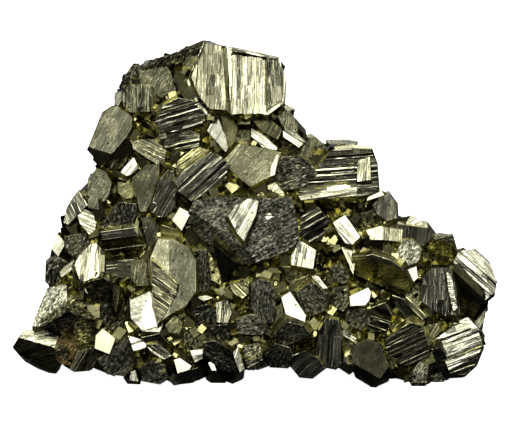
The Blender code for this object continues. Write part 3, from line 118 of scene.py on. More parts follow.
TOP_CRYSTALS = (
    Crystal("summit_block", ((41.0, 8.0), (56.0, 11.3), (57.0, 16.0), (56.8, 20.2), (53.6, 22.7),
                             (41.8, 22.3), (39.6, 19.8), (37.8, 15.4)),
            turn=(2, 13), rise=5.0, flare=6,
            bevels=(((53.0, 8.0), (53.0, 24.0), -16), ((45.8, 24.0), (45.8, 8.0), -8))),
    Crystal("gable_white_face", ((43.2, 22.6), (44.2, 23.6), (44.9, 26.0), (45.6, 29.6), (45.2, 30.6),
                                 (41.4, 26.2)), turn=(-14, 14), rise=2.5),
    Crystal("gable_olive_face", ((44.3, 23.0), (46.4, 23.4), (47.6, 25.6), (46.8, 28.6), (45.6, 30.2),
                                 (44.8, 26.0)), turn=(22, 2), rise=2.4),
    Crystal("upper_left_cube", ((28.0, 14.4), (30.2, 13.8), (33.4, 13.2), (34.2, 14.4), (35.2, 17.8),
                                (32.2, 19.6), (30.4, 17.2), (28.2, 16.8)),
            turn=(8, 4), rise=1.0, flare=14, bevels=(((30.4, 17.4), (30.2, 13.4), 16),)),
    Crystal("upper_left_ribs", ((24.2, 19.4), (25.8, 16.8), (30.2, 17.0), (32.0, 19.6), (30.8, 22.2),
                                (26.2, 22.6), (24.4, 20.8)),
            turn=(-8, -2), rise=1.5, flare=14, bevels=(((30.2, 16.6), (30.0, 22.6), 34),)),
    Crystal("rim_chip", ((22.8, 18.4), (24.0, 18.2), (24.8, 19.0), (23.6, 21.2), (22.8, 20.8)),
            turn=(-14, 14), rise=0.6, flare=12),
    Crystal("left_slab", ((17.6, 29.4), (18.4, 27.4), (20.4, 22.4), (22.2, 21.2), (23.8, 21.4),
                          (26.4, 23.4), (26.4, 25.6), (25.4, 27.4), (21.4, 31.6), (20.8, 32.6),
                          (19.2, 32.6)),
            turn=(-10, 5), rise=3.0, flare=8, bevels=(((21.6, 30.6), (17.2, 29.2), 26),)),
    Crystal("ribbed_slab", ((31.0, 24.4), (32.6, 21.2), (35.6, 19.6), (39.6, 20.2), (41.6, 22.6),
                            (40.2, 25.2), (36.0, 26.4), (31.8, 26.4)),
            turn=(1, -5), rise=2.0),
    Crystal("ribbed_shelf", ((31.6, 26.6), (38.4, 26.0), (40.0, 26.8), (39.8, 29.4), (36.6, 30.0),
                             (33.0, 29.6)), turn=(0, 4), rise=0.8),
    Crystal("pebble_face", ((26.2, 28.4), (28.0, 27.8), (30.6, 27.8), (33.4, 30.0), (32.8, 32.6),
                            (31.6, 32.9), (29.6, 31.8), (26.6, 29.8)), turn=(-4, 6), rise=2.0),
    Crystal("ribbed_block", ((35.0, 36.4), (36.6, 34.2), (42.2, 30.4), (44.4, 31.4), (45.8, 33.0),
                             (45.2, 35.8), (42.8, 37.6), (39.2, 40.0), (38.4, 40.4), (35.6, 38.2)),
            turn=(-2, 0), rise=4.6, flare=12),
    Crystal("gold_steps", ((34.2, 33.2), (36.8, 32.4), (39.2, 29.2), (42.0, 30.0), (40.0, 31.8),
                           (36.4, 34.0)), turn=(-14, 22), rise=0.8),
    Crystal("olive_pentagon", ((47.8, 28.8), (50.0, 29.4), (54.2, 30.0), (55.8, 30.6), (54.8, 35.0),
                               (53.0, 35.6), (50.0, 37.4), (47.8, 35.6), (44.4, 32.4), (46.8, 30.0)),
            turn=(0, 7), rise=3.4,
            bevels=(((54.0, 29.6), (54.0, 36.0), 26), ((45.0, 33.0), (48.2, 28.8), 20))),
    Crystal("slat_white", ((50.2, 25.6), (52.4, 26.8), (55.6, 29.6), (55.2, 30.2), (52.4, 29.4),
                           (50.2, 27.2)), turn=(3, 19), rise=2.2),
    Crystal("mottled_filler", ((47.4, 26.0), (50.0, 26.0), (50.0, 29.0), (48.0, 29.2), (46.8, 28.4)),
            turn=(0, -5), rise=1.0),
    Crystal("under_summit_ribs", ((50.4, 24.0), (54.0, 23.6), (56.4, 26.0), (55.6, 28.0), (52.4, 26.4)),
            turn=(4, 2), rise=1.2),
    Crystal("right_shoulder", ((55.4, 23.2), (57.0, 22.0), (58.2, 22.4), (59.6, 24.8), (59.6, 26.4),
                               (57.0, 26.0)), turn=(10, 4), rise=0.8, flare=14),
    Crystal("shoulder_ribs", ((56.6, 26.0), (58.8, 26.0), (61.0, 28.4), (59.8, 29.6), (56.6, 27.4)),
            turn=(5, 15), rise=1.8, flare=18),
    Crystal("shoulder_dark", ((56.0, 28.2), (59.4, 29.8), (59.2, 31.2), (56.8, 30.4)),
            turn=(0, -22), rise=1.0),
    Crystal("shoulder_knob", ((60.2, 29.8), (62.0, 27.6), (63.0, 27.4), (64.2, 28.4), (64.4, 30.0),
                              (62.4, 31.6), (60.6, 31.4)),
            turn=(8, 3), rise=1.0, flare=14, bevels=(((62.4, 27.0), (62.2, 32.0), 30),)),
)

UPPER_CRYSTALS = (
    Crystal("dark_pentagon", ((56.2, 31.4), (60.0, 31.2), (62.4, 33.0), (63.4, 34.6), (61.0, 37.6),
                              (56.6, 38.0), (55.0, 35.6)), turn=(0, -6), rise=2.4),
    Crystal("small_pale", ((53.0, 35.4), (54.4, 35.2), (56.8, 38.6), (55.8, 39.0), (53.6, 38.0)),
            turn=(0, 14), rise=0.8),
    Crystal("great_ribs", ((59.6, 38.4), (61.0, 37.4), (63.6, 33.4), (66.0, 30.2), (70.4, 29.6),
                           (74.0, 30.2), (75.0, 33.0), (75.4, 38.0), (72.0, 39.4)),
            turn=(-1, -5), rise=3.4, flare=12, bevels=(((70.6, 29.0), (71.4, 40.0), 22),)),
    Crystal("great_ribs_ledge", ((59.4, 38.8), (68.6, 36.8), (71.4, 37.4), (71.4, 39.2), (60.2, 40.2)),
            turn=(0, 15), rise=3.4, flare=20),
    Crystal("dark_cap", ((66.0, 28.9), (69.0, 28.8), (70.8, 29.1), (70.4, 30.2), (66.2, 30.4)),
            turn=(0, -4), rise=-1.0, flare=10),
    Crystal("east_nub_pale", ((73.2, 38.4), (76.2, 38.0), (77.0, 39.0), (73.4, 40.2)),
            turn=(4, 18), rise=1.2, flare=16),
    Crystal("east_nub", ((74.4, 41.0), (76.0, 39.4), (78.0, 39.0), (79.2, 40.6), (79.4, 43.4),
                         (77.4, 44.2), (75.6, 43.0)),
            turn=(5, 3), rise=1.6, flare=12, bevels=(((77.6, 38.6), (77.2, 44.4), 26),)),
    Crystal("under_ribs_dark", ((60.0, 43.6), (63.0, 40.6), (66.0, 44.4), (64.4, 48.0), (62.0, 48.6),
                                (60.0, 47.0)), turn=(3, -4), rise=1.0),
    Crystal("bright_wedge", ((66.6, 44.4), (69.0, 43.0), (70.4, 45.0), (72.0, 47.4), (70.4, 49.0),
                             (69.0, 48.6), (67.0, 45.6)), turn=(2, 18), rise=2.6),
    Crystal("long_wedge", ((68.2, 49.4), (70.8, 48.6), (71.2, 51.6), (70.6, 55.0), (69.6, 52.4)),
            turn=(-4, 12), rise=1.6),
    Crystal("recess_dark_east", ((72.0, 42.6), (75.0, 41.6), (76.6, 44.0), (75.6, 46.6), (72.4, 46.4)),
            turn=(-4, -12), rise=0.0),
    Crystal("heart_block", ((39.2, 40.6), (43.6, 39.6), (49.8, 39.6), (58.4, 39.6), (59.6, 45.0),
                            (59.8, 48.0), (57.6, 50.2), (51.2, 52.6), (48.0, 52.6), (44.4, 50.0),
                            (41.0, 48.0), (37.6, 44.4)),
            turn=(5, -4), rise=5.0, flare=5,
            bevels=(((51.2, 52.8), (45.4, 42.6), 27), ((45.4, 42.6), (45.6, 38.0), 24),
                    ((49.8, 48.8), (49.4, 39.0), 15))),
    Crystal("mirror_chip", ((36.0, 41.4), (38.2, 42.6), (36.4, 46.2), (34.4, 44.0)),
            turn=(-6, 17), rise=4.0, flare=30),
    Crystal("amber_left", ((32.4, 45.0), (35.6, 46.0), (37.2, 48.0), (36.0, 48.8), (34.0, 48.0),
                           (32.0, 46.4)), turn=(-16, -14), rise=2.0),
    Crystal("amber_right", ((37.2, 45.6), (38.6, 45.0), (41.6, 48.0), (40.0, 49.2), (38.0, 49.8),
                            (37.0, 47.6)), turn=(16, -10), rise=2.0),
    Crystal("left_centre_face", ((26.4, 35.6), (29.2, 33.2), (32.0, 32.6), (31.6, 36.0), (30.0, 41.0),
                                 (29.2, 42.4), (28.0, 42.4), (27.6, 38.0)), turn=(-5, 4), rise=2.2),
    Crystal("left_centre_grey", ((30.4, 41.0), (32.0, 36.0), (33.6, 34.0), (34.8, 34.4), (35.2, 38.0),
                                 (35.2, 41.4), (33.0, 43.4), (31.6, 43.4), (30.0, 42.0)),
            turn=(5, -4), rise=2.0),
    Crystal("striped_chip", ((24.0, 34.4), (26.6, 31.0), (27.8, 33.6), (26.2, 35.0), (25.2, 35.2)),
            turn=(4, 17), rise=1.8),
    Crystal("stripe_recess", ((21.2, 30.6), (24.4, 29.0), (26.2, 30.2), (24.4, 33.6), (22.0, 33.8)),
            turn=(4, -8), rise=0.0),
    Crystal("olive_nugget", ((23.4, 36.4), (25.6, 36.0), (27.0, 37.4), (26.6, 39.6), (25.0, 39.8),
                             (23.6, 38.6)), turn=(-6, 8), rise=0.8),
    Crystal("left_tablet", ((19.4, 33.6), (21.2, 34.4), (22.4, 36.6), (21.8, 39.0), (19.6, 42.0),
                            (17.6, 41.6), (17.4, 38.0), (17.6, 35.6)),
            turn=(-8, 4), rise=2.4, flare=14),
    Crystal("left_edge_ribs", ((15.6, 38.0), (17.6, 41.0), (15.0, 43.2), (13.6, 45.0), (12.6, 44.6),
                               (13.2, 41.6), (14.4, 39.6)), turn=(-22, 13), rise=1.4, flare=8),
    Crystal("left_stripes", ((15.4, 43.2), (17.0, 41.8), (19.6, 43.2), (19.0, 46.0), (18.0, 47.2),
                             (16.0, 44.8)), turn=(-4, 14), rise=1.8),
    Crystal("dark_plate", ((20.0, 45.2), (22.4, 42.0), (24.0, 40.4), (27.2, 40.8), (27.6, 43.0),
                           (26.4, 45.2), (21.6, 46.4)), turn=(-5, -8), rise=1.4),
    Crystal("long_prism", ((20.2, 46.4), (27.6, 45.4), (28.4, 47.2), (29.0, 50.0), (28.0, 51.2),
                           (21.2, 52.4), (20.6, 49.0)),
            turn=(0, -6), rise=2.2,
            bevels=(((28.6, 47.7), (20.4, 48.9), 24), ((28.6, 47.0), (20.4, 48.0), 48))),
    Crystal("rosy_sliver", ((27.4, 43.4), (27.8, 44.4), (27.6, 47.0), (26.6, 45.8)),
            turn=(-12, 10), rise=2.4),
    Crystal("grey_filler", ((28.2, 43.6), (30.2, 43.2), (31.8, 45.2), (31.4, 48.6), (29.6, 49.6),
                            (28.8, 46.0)), turn=(3, -3), rise=0.8),
)

MIDDLE_CRYSTALS = (
    Crystal("pale_slab", ((30.4, 51.6), (31.8, 47.8), (35.0, 48.0), (38.0, 49.8), (39.2, 52.0),
                          (39.2, 58.4), (37.2, 61.2), (35.2, 60.4), (32.4, 63.8), (31.2, 60.8)),
            turn=(0, 6), rise=4.4, bevels=(((34.2, 66.0), (34.0, 56.0), 14),)),
    Crystal("pale_slab_flank", ((30.4, 52.0), (32.2, 53.4), (35.6, 56.8), (35.2, 59.0), (32.8, 63.4),
                                (31.6, 64.8), (30.6, 60.0)), turn=(-10, 3), rise=4.8),
    Crystal("granular_pillar_left", ((39.6, 50.0), (41.4, 50.0), (42.0, 53.6), (42.4, 58.2),
                                     (39.8, 58.4)), turn=(5, -6), rise=1.6),
    Crystal("sparkle_strip", ((41.4, 49.8), (42.6, 51.8), (44.2, 54.6), (44.2, 57.0), (42.2, 56.0)),
            turn=(-8, 10), rise=1.4),
    Crystal("black_wedge", ((42.6, 48.6), (47.4, 52.6), (45.6, 56.2), (44.2, 56.2), (43.6, 52.6)),
            turn=(-24, -28), rise=3.0),
    Crystal("olive_shield", ((45.8, 57.0), (48.0, 56.2), (49.8, 56.6), (49.8, 58.6), (48.6, 59.7),
                             (46.8, 58.8)), turn=(-3, 7), rise=2.4),
    Crystal("granular_column", ((50.2, 56.8), (51.8, 55.8), (54.4, 56.4), (55.2, 60.2), (54.6, 64.4),
                                (52.4, 64.8), (50.2, 61.6)), turn=(0, -5), rise=3.0),
    Crystal("olive_recess", ((56.8, 53.2), (60.0, 53.4), (62.4, 54.6), (60.0, 57.2), (57.2, 56.2)),
            turn=(2, -12), rise=1.0),
    Crystal("bright_block", ((59.8, 48.0), (61.0, 48.6), (63.2, 50.0), (62.6, 53.8), (58.2, 53.0),
                             (58.2, 51.2)), turn=(2, 17), rise=2.6),
    Crystal("white_slat", ((62.4, 55.0), (63.6, 55.2), (65.6, 57.6), (64.4, 57.8), (62.2, 56.4)),
            turn=(3, 18), rise=2.2),
    Crystal("dusky_block", ((59.2, 58.4), (62.2, 56.2), (66.0, 59.0), (65.0, 62.0), (62.0, 63.2),
                            (60.0, 61.6)), turn=(2, -7), rise=2.6),
    Crystal("white_shard", ((56.2, 59.4), (58.0, 58.2), (58.6, 60.6), (61.2, 63.0), (60.8, 64.8),
                            (57.4, 64.0)), turn=(-3, 18), rise=3.2),
    Crystal("olive_sliver", ((54.4, 66.6), (56.8, 64.0), (56.4, 60.0), (55.2, 62.0)),
            turn=(-12, -2), rise=2.0),
    Crystal("low_granular", ((47.2, 64.0), (50.0, 62.6), (52.4, 63.6), (53.6, 65.2), (52.4, 67.0),
                             (47.6, 66.8)), turn=(0, -7), rise=2.6),
    Crystal("east_sparkle", ((66.0, 53.6), (68.0, 52.4), (70.0, 55.0), (69.0, 56.8), (66.8, 56.4)),
            turn=(0, -5), rise=1.2),
    Crystal("white_tile", ((69.8, 59.2), (73.6, 57.4), (74.2, 58.4), (73.8, 60.0), (73.0, 61.0),
                           (70.0, 61.2)), turn=(2, 18), rise=3.0),
    Crystal("tile_backing", ((66.4, 57.6), (69.4, 57.2), (70.0, 60.4), (68.6, 62.4), (66.0, 60.6)),
            turn=(-8, -4), rise=1.4),
    Crystal("dark_tablet", ((71.0, 51.6), (74.4, 50.8), (78.0, 52.0), (80.4, 53.6), (82.0, 57.0),
                            (80.8, 59.6), (78.0, 58.4), (74.4, 56.0), (71.0, 55.2)),
            turn=(-1, -8), rise=4.6, bevels=(((81.4, 54.4), (72.0, 50.6), 36),)),
    Crystal("amber_leaf", ((71.0, 51.4), (72.6, 49.4), (74.6, 50.0), (73.6, 51.4)),
            turn=(-5, 12), rise=3.0),
    Crystal("cream_block", ((73.2, 46.0), (76.0, 45.2), (80.4, 45.8), (80.2, 48.0), (74.0, 48.0)),
            turn=(2, 16), rise=2.2, bevels=(((76.4, 44.0), (76.6, 49.0), 14),)),
    Crystal("east_ridge", ((76.4, 46.0), (79.6, 44.8), (85.6, 45.6), (86.8, 47.2), (84.8, 49.2),
                           (80.0, 48.4)), turn=(5, -3), rise=1.4, flare=12),
    Crystal("east_fin", ((77.0, 45.2), (80.4, 43.4), (82.6, 43.0), (85.6, 45.2), (83.0, 46.0)),
            turn=(6, 14), rise=-0.4, flare=10, bevels=(((80.6, 46.0), (82.4, 42.6), 44),)),
    Crystal("pale_boulder", ((79.2, 50.4), (80.6, 48.0), (82.6, 48.0), (84.4, 50.0), (83.6, 52.4),
                             (81.6, 53.2)), turn=(1, 9), rise=3.6),
    Crystal("white_notch", ((80.8, 53.6), (83.2, 52.6), (83.6, 55.6), (82.6, 56.4)),
            turn=(-2, 18), rise=3.0),
    Crystal("brown_cube", ((85.8, 48.2), (87.6, 47.0), (90.4, 47.2), (91.2, 50.0), (90.0, 52.2),
                           (86.4, 51.6), (85.4, 50.0)),
            turn=(-2, -8), rise=2.0, flare=12, bevels=(((91.6, 49.0), (86.0, 47.6), 34),)),
    Crystal("east_ribs", ((90.6, 52.6), (91.8, 50.2), (95.2, 49.8), (98.0, 52.2), (99.4, 56.0),
                          (99.0, 58.6), (97.0, 60.2), (94.0, 57.0)),
            turn=(6, 15), rise=2.2, flare=8, bevels=(((96.4, 49.0), (98.2, 61.0), 20),)),
    Crystal("east_underside", ((90.6, 54.0), (96.2, 59.2), (96.6, 60.2), (94.8, 64.0), (92.4, 63.2),
                               (91.2, 60.0)), turn=(-20, -28), rise=2.2, flare=10),
    Crystal("east_pillar", ((84.4, 55.6), (86.4, 53.6), (89.6, 53.6), (91.0, 58.0), (91.6, 62.6),
                            (89.0, 63.2), (86.4, 62.0), (84.0, 60.0)),
            turn=(-3, -1), rise=4.2, bevels=(((88.6, 53.0), (89.2, 64.0), 18),)),
    Crystal("pillar_gap", ((80.8, 59.0), (83.6, 56.2), (84.4, 60.0), (84.0, 62.0)),
            turn=(-8, 2), rise=1.6),
    Crystal("slant_slat", ((81.0, 59.2), (82.4, 59.6), (85.4, 63.4), (84.4, 64.0), (81.8, 61.4)),
            turn=(-3, 10), rise=3.0),
    Crystal("slant_dark", ((78.4, 59.0), (80.8, 59.8), (84.0, 64.0), (81.6, 64.2), (79.2, 61.6)),
            turn=(-6, -10), rise=2.4),
)

LOWER_LEFT_CRYSTALS = (
    Crystal("west_shards", ((11.4, 46.6), (13.0, 48.6), (11.6, 51.4), (10.2, 49.8)),
            turn=(-6, 16), rise=0.6, flare=10),
    Crystal("west_shoulder", ((13.0, 47.4), (17.0, 46.6), (18.6, 49.6), (15.6, 52.0), (13.0, 50.4)),
            turn=(-4, -6), rise=0.6),
    Crystal("west_dark", ((9.0, 53.2), (11.0, 51.2), (13.6, 52.4), (13.4, 55.6), (10.4, 57.6),
                          (8.9, 56.4)), turn=(-8, -6), rise=0.2, flare=10),
    Crystal("west_stripes", ((11.8, 54.4), (14.6, 51.6), (15.6, 53.2), (12.2, 55.6)),
            turn=(-2, 8), rise=1.4),
    Crystal("striated_cube", ((14.8, 53.0), (15.8, 51.0), (18.2, 48.7), (19.4, 48.6), (20.6, 50.4),
                              (20.6, 55.2), (18.4, 55.8), (16.2, 56.5)),
            turn=(-3, 15), rise=3.6, flare=22, bevels=(((19.5, 48.0), (19.9, 56.0), 34),)),
    Crystal("striped_prow", ((16.0, 56.4), (19.4, 57.0), (17.4, 58.8)), turn=(-4, 10), rise=2.4),
    Crystal("west_pale_plate", ((9.4, 57.6), (13.2, 56.8), (13.6, 62.0), (10.2, 64.2), (8.0, 65.4),
                                (6.4, 65.5), (6.8, 63.8), (8.4, 60.2)),
            turn=(-10, 15), rise=1.8, flare=8),
    Crystal("west_black_face", ((8.8, 65.2), (13.4, 62.2), (19.0, 64.0), (19.4, 67.6), (16.4, 69.4),
                                (12.4, 68.0)), turn=(2, -32), rise=1.2),
    Crystal("west_tip", ((2.4, 69.0), (4.6, 66.2), (6.2, 66.0), (12.0, 66.3), (12.6, 69.0),
                         (11.2, 70.6), (10.8, 73.5), (9.0, 73.2), (5.6, 71.4), (3.4, 70.2)),
            turn=(-4, 16), rise=0.6, flare=6, bevels=(((3.6, 67.5), (12.4, 70.0), -44),)),
    Crystal("rusty_face", ((12.4, 68.0), (15.6, 69.0), (16.2, 70.6), (14.4, 73.4), (12.0, 72.6),
                           (11.2, 70.4)), turn=(2, -10), rise=1.2),
    Crystal("splinter", ((14.0, 73.8), (15.6, 70.2), (18.4, 69.6), (19.4, 72.6), (17.4, 74.2),
                         (15.0, 74.4)), turn=(0, -8), rise=1.4, bevels=(((14.4, 74.4), (17.4, 69.0), 26),)),
    Crystal("dark_hood", ((16.6, 56.6), (20.6, 55.6), (23.0, 56.4), (22.8, 60.6), (21.0, 62.6),
                          (18.8, 61.0)), turn=(0, -30), rise=2.0),
    Crystal("hood_flank", ((22.6, 56.4), (24.4, 57.8), (25.4, 61.6), (23.8, 63.8), (22.6, 61.0)),
            turn=(16, -6), rise=1.6),
    Crystal("olive_gully", ((13.6, 59.4), (16.6, 60.4), (18.2, 63.0), (16.0, 63.4), (13.8, 62.0)),
            turn=(10, 4), rise=0.6),
    Crystal("shelf_block", ((21.0, 52.4), (27.6, 51.4), (28.4, 54.0), (24.6, 56.0), (21.4, 55.2)),
            turn=(0, -2), rise=0.6),
    Crystal("drum", ((26.4, 52.6), (28.4, 51.8), (30.0, 53.0), (29.8, 57.2), (27.4, 57.2),
                     (26.0, 55.6)), turn=(-4, 3), rise=1.4),
    Crystal("white_plate", ((26.0, 60.0), (30.0, 58.2), (32.2, 61.8), (32.6, 65.0), (32.0, 66.4),
                            (28.6, 66.2), (26.2, 63.6)), turn=(-1, 18), rise=3.0),
    Crystal("olive_chip", ((33.0, 65.0), (35.0, 62.8), (36.6, 64.4), (36.2, 66.4), (34.0, 66.6)),
            turn=(0, 6), rise=3.0),
    Crystal("hollow_dark", ((21.6, 58.8), (25.6, 62.0), (25.4, 66.0), (22.0, 66.0), (19.6, 63.6)),
            turn=(2, -10), rise=-0.6),
    Crystal("cream_cube", ((20.6, 65.6), (23.2, 67.6), (22.0, 70.8), (19.0, 69.6), (19.2, 67.0)),
            turn=(0, 17), rise=3.8),
    Crystal("foot_grey_left", ((19.6, 72.0), (23.4, 69.6), (26.0, 67.2), (27.2, 70.0), (26.6, 73.6),
                               (25.0, 75.2), (21.6, 74.8)), turn=(-2, -12), rise=2.4, flare=14),
    Crystal("stepped_white", ((25.6, 67.0), (29.2, 68.0), (29.4, 69.4), (26.8, 70.2), (26.2, 68.4)),
            turn=(2, 18), rise=3.4),
    Crystal("roof_dark", ((28.4, 67.4), (32.0, 66.6), (34.0, 68.8), (31.6, 69.4), (29.2, 68.8)),
            turn=(0, -20), rise=3.0),
    Crystal("striped_prism", ((29.4, 69.0), (31.6, 68.6), (33.6, 70.0), (34.4, 71.0), (33.0, 71.8),
                              (30.4, 70.6)), turn=(-2, 8), rise=3.4),
    Crystal("foot_stripes", ((26.2, 74.2), (27.2, 74.0), (27.8, 76.2), (26.0, 76.0)),
            turn=(2, 10), rise=2.6, flare=12),
    Crystal("foot_dark_left", ((28.0, 73.6), (30.4, 72.0), (33.2, 73.0), (33.6, 75.6), (32.0, 76.8),
                               (28.6, 76.2)), turn=(-2, -10), rise=2.6, flare=12),
    Crystal("foot_point", ((33.6, 75.4), (35.2, 74.4), (36.6, 75.0), (35.6, 76.8), (34.8, 77.0)),
            turn=(-4, -6), rise=1.6, flare=10),
    Crystal("foot_white_tile", ((34.8, 71.8), (36.0, 71.4), (38.4, 73.0), (38.0, 73.8), (35.6, 74.6)),
            turn=(2, 18), rise=4.0, flare=20),
    Crystal("foot_side_dark", ((35.8, 74.4), (39.6, 73.4), (39.4, 75.0), (37.0, 76.0)),
            turn=(2, -22), rise=3.0, flare=12),
)

LOWER_CRYSTALS = (
    Crystal("gap_block", ((36.8, 66.4), (39.2, 66.6), (40.0, 70.0), (38.0, 71.6), (36.8, 69.0)),
            turn=(-2, -6), rise=1.6),
    Crystal("small_olive", ((37.8, 66.0), (39.2, 65.2), (40.0, 66.8), (38.8, 67.6)),
            turn=(-4, 6), rise=2.8),
    Crystal("lined_chip", ((38.0, 70.0), (40.6, 69.6), (40.6, 71.6), (39.0, 72.4)),
            turn=(1, 17), rise=3.4),
    Crystal("pale_lump_west", ((39.4, 59.4), (41.2, 59.0), (43.0, 59.4), (40.8, 60.2)),
            turn=(0, 17), rise=2.6),
    Crystal("coal_block", ((38.2, 61.8), (42.0, 60.6), (43.4, 62.6), (42.6, 65.6), (39.4, 64.6)),
            turn=(0, -16), rise=2.0),
    Crystal("striped_small", ((43.2, 60.4), (45.6, 60.0), (46.4, 62.4), (45.6, 64.6), (43.4, 64.4)),
            turn=(2, 12), rise=2.4),
    Crystal("coal_small", ((41.0, 67.0), (43.0, 65.0), (45.6, 64.8), (46.4, 67.0), (44.0, 68.4)),
            turn=(0, -14), rise=2.6),
    Crystal("black_boat", ((40.6, 68.4), (43.0, 68.0), (46.4, 70.0), (48.4, 73.0), (47.0, 74.4),
                           (44.4, 74.0), (41.0, 71.0)), turn=(2, -18), rise=3.4, flare=12),
    Crystal("boat_rail", ((46.6, 70.4), (47.6, 69.2), (48.0, 70.4), (49.0, 73.6), (48.0, 74.4),
                          (47.0, 72.0)), turn=(12, 10), rise=3.4, flare=12),
    Crystal("foot_white_chip", ((41.6, 72.4), (42.6, 72.0), (43.4, 74.0), (42.4, 74.0)),
            turn=(-4, 17), rise=2.8, flare=12),
    Crystal("nest_block", ((48.6, 69.0), (52.0, 68.4), (52.6, 70.8), (50.6, 72.4), (49.0, 71.6)),
            turn=(0, 4), rise=1.4),
    Crystal("nest_foot", ((49.0, 72.0), (52.4, 71.4), (53.6, 73.2), (51.6, 73.9), (49.4, 73.6)),
            turn=(-2, -14), rise=2.0, flare=12),
    Crystal("low_pentagon", ((54.6, 67.0), (57.2, 64.2), (60.6, 65.0), (62.0, 66.6), (60.0, 68.0),
                             (57.0, 69.0), (55.0, 68.0)), turn=(0, -22), rise=4.2),
    Crystal("foot_coal", ((53.0, 71.0), (55.0, 68.6), (58.0, 69.4), (59.0, 72.0), (57.6, 73.6),
                          (54.0, 73.4)), turn=(0, -18), rise=2.6, flare=12),
    Crystal("foot_lined", ((58.4, 71.0), (61.0, 70.0), (63.6, 71.6), (65.0, 73.6), (62.4, 75.6),
                           (60.0, 75.4), (58.2, 73.2)), turn=(0, -10), rise=3.4, flare=12),
    Crystal("dark_fan", ((63.8, 66.0), (65.2, 63.4), (67.6, 64.0), (68.4, 68.0), (69.0, 72.4),
                         (67.0, 73.6), (64.0, 73.0), (63.2, 70.0)), turn=(0, -5), rise=3.4, flare=16),
    Crystal("lined_strip", ((68.0, 66.0), (69.4, 65.8), (71.4, 67.6), (70.6, 68.4), (68.2, 67.0)),
            turn=(2, 12), rise=2.4),
    Crystal("strip_shadow", ((68.4, 68.2), (70.6, 68.2), (70.6, 70.0), (69.0, 70.6)),
            turn=(0, -10), rise=1.6),
    Crystal("foot_leaf", ((68.4, 71.0), (70.0, 69.8), (70.4, 70.4), (69.0, 71.4)),
            turn=(-6, 14), rise=3.0),
    Crystal("hollow_block", ((69.4, 62.0), (73.0, 61.6), (74.0, 64.4), (72.0, 66.0), (69.0, 64.6)),
            turn=(0, -8), rise=2.0),
    Crystal("barred_block", ((73.0, 62.0), (77.0, 60.4), (78.4, 63.0), (77.6, 66.0), (74.4, 66.4),
                             (72.4, 64.4)), turn=(0, -10), rise=2.4),
    Crystal("dark_drum", ((77.0, 68.0), (80.0, 65.6), (82.0, 64.4), (84.4, 65.0), (85.6, 69.0),
                          (85.6, 71.2), (81.0, 73.2), (78.4, 72.0), (77.0, 70.0)),
            turn=(-2, -5), rise=4.4),
    Crystal("foot_pentagon", ((71.0, 68.6), (73.0, 68.0), (75.6, 68.6), (77.0, 71.6), (77.6, 73.2),
                              (75.6, 75.6), (74.6, 77.4), (73.0, 75.4), (70.4, 72.6), (70.2, 70.4)),
            turn=(-2, 1), rise=6.0, flare=14,
            bevels=(((70.0, 72.2), (75.8, 75.6), -40), ((75.4, 68.0), (77.8, 73.4), 34))),
    Crystal("foot_wing", ((70.0, 72.8), (75.6, 75.6), (78.6, 73.6), (77.6, 76.2), (74.6, 77.6),
                          (71.0, 75.4)), turn=(0, -30), rise=4.0, flare=8),
    Crystal("foot_nest_east", ((82.0, 74.4), (84.0, 72.0), (85.6, 73.0), (85.2, 76.4), (82.8, 77.2)),
            turn=(-3, 2), rise=5.0, flare=14),
    Crystal("foot_nest_tip", ((82.0, 76.4), (85.4, 76.4), (84.6, 78.0), (82.4, 77.6)),
            turn=(0, -20), rise=4.6, flare=8),
    Crystal("foot_far_east", ((86.0, 75.0), (88.4, 74.4), (88.8, 76.8), (86.8, 77.2)),
            turn=(2, -2), rise=1.8, flare=12),
    Crystal("foot_east_wedge", ((88.0, 75.4), (91.4, 74.4), (89.6, 76.0), (88.4, 76.4)),
            turn=(4, -16), rise=1.0, flare=10),
    Crystal("coal_round", ((85.6, 70.0), (88.0, 69.4), (89.2, 71.0), (89.2, 73.6), (88.0, 74.6),
                           (86.0, 73.0)), turn=(0, -24), rise=3.0),
    Crystal("south_east_block", ((86.6, 68.0), (91.0, 65.0), (95.6, 65.8), (96.6, 69.0), (95.2, 72.4),
                                 (93.0, 74.4), (90.0, 74.6), (89.2, 70.6)),
            turn=(3, 14), rise=3.8, flare=10, bevels=(((95.8, 70.8), (89.0, 74.4), 36),)),
    Crystal("south_east_cap", ((90.6, 64.6), (93.6, 63.4), (96.0, 66.0), (94.0, 67.0), (91.4, 66.4)),
            turn=(4, 19), rise=2.6, flare=12),
    Crystal("south_east_nub", ((95.8, 65.6), (97.1, 67.2), (96.8, 70.0), (95.4, 69.2)),
            turn=(15, -14), rise=1.0, flare=8),
    Crystal("east_sliver", ((95.0, 64.4), (97.4, 61.6), (96.8, 65.0), (95.6, 66.0)),
            turn=(8, 8), rise=1.0, flare=8),
    Crystal("olive_bracket", ((84.6, 65.0), (87.6, 64.6), (88.0, 66.0), (86.0, 68.0), (84.8, 67.0)),
            turn=(-5, 6), rise=3.2),
)

FRONT_CRYSTALS = (
    TOP_CRYSTALS + UPPER_CRYSTALS + MIDDLE_CRYSTALS + LOWER_LEFT_CRYSTALS + LOWER_CRYSTALS
)

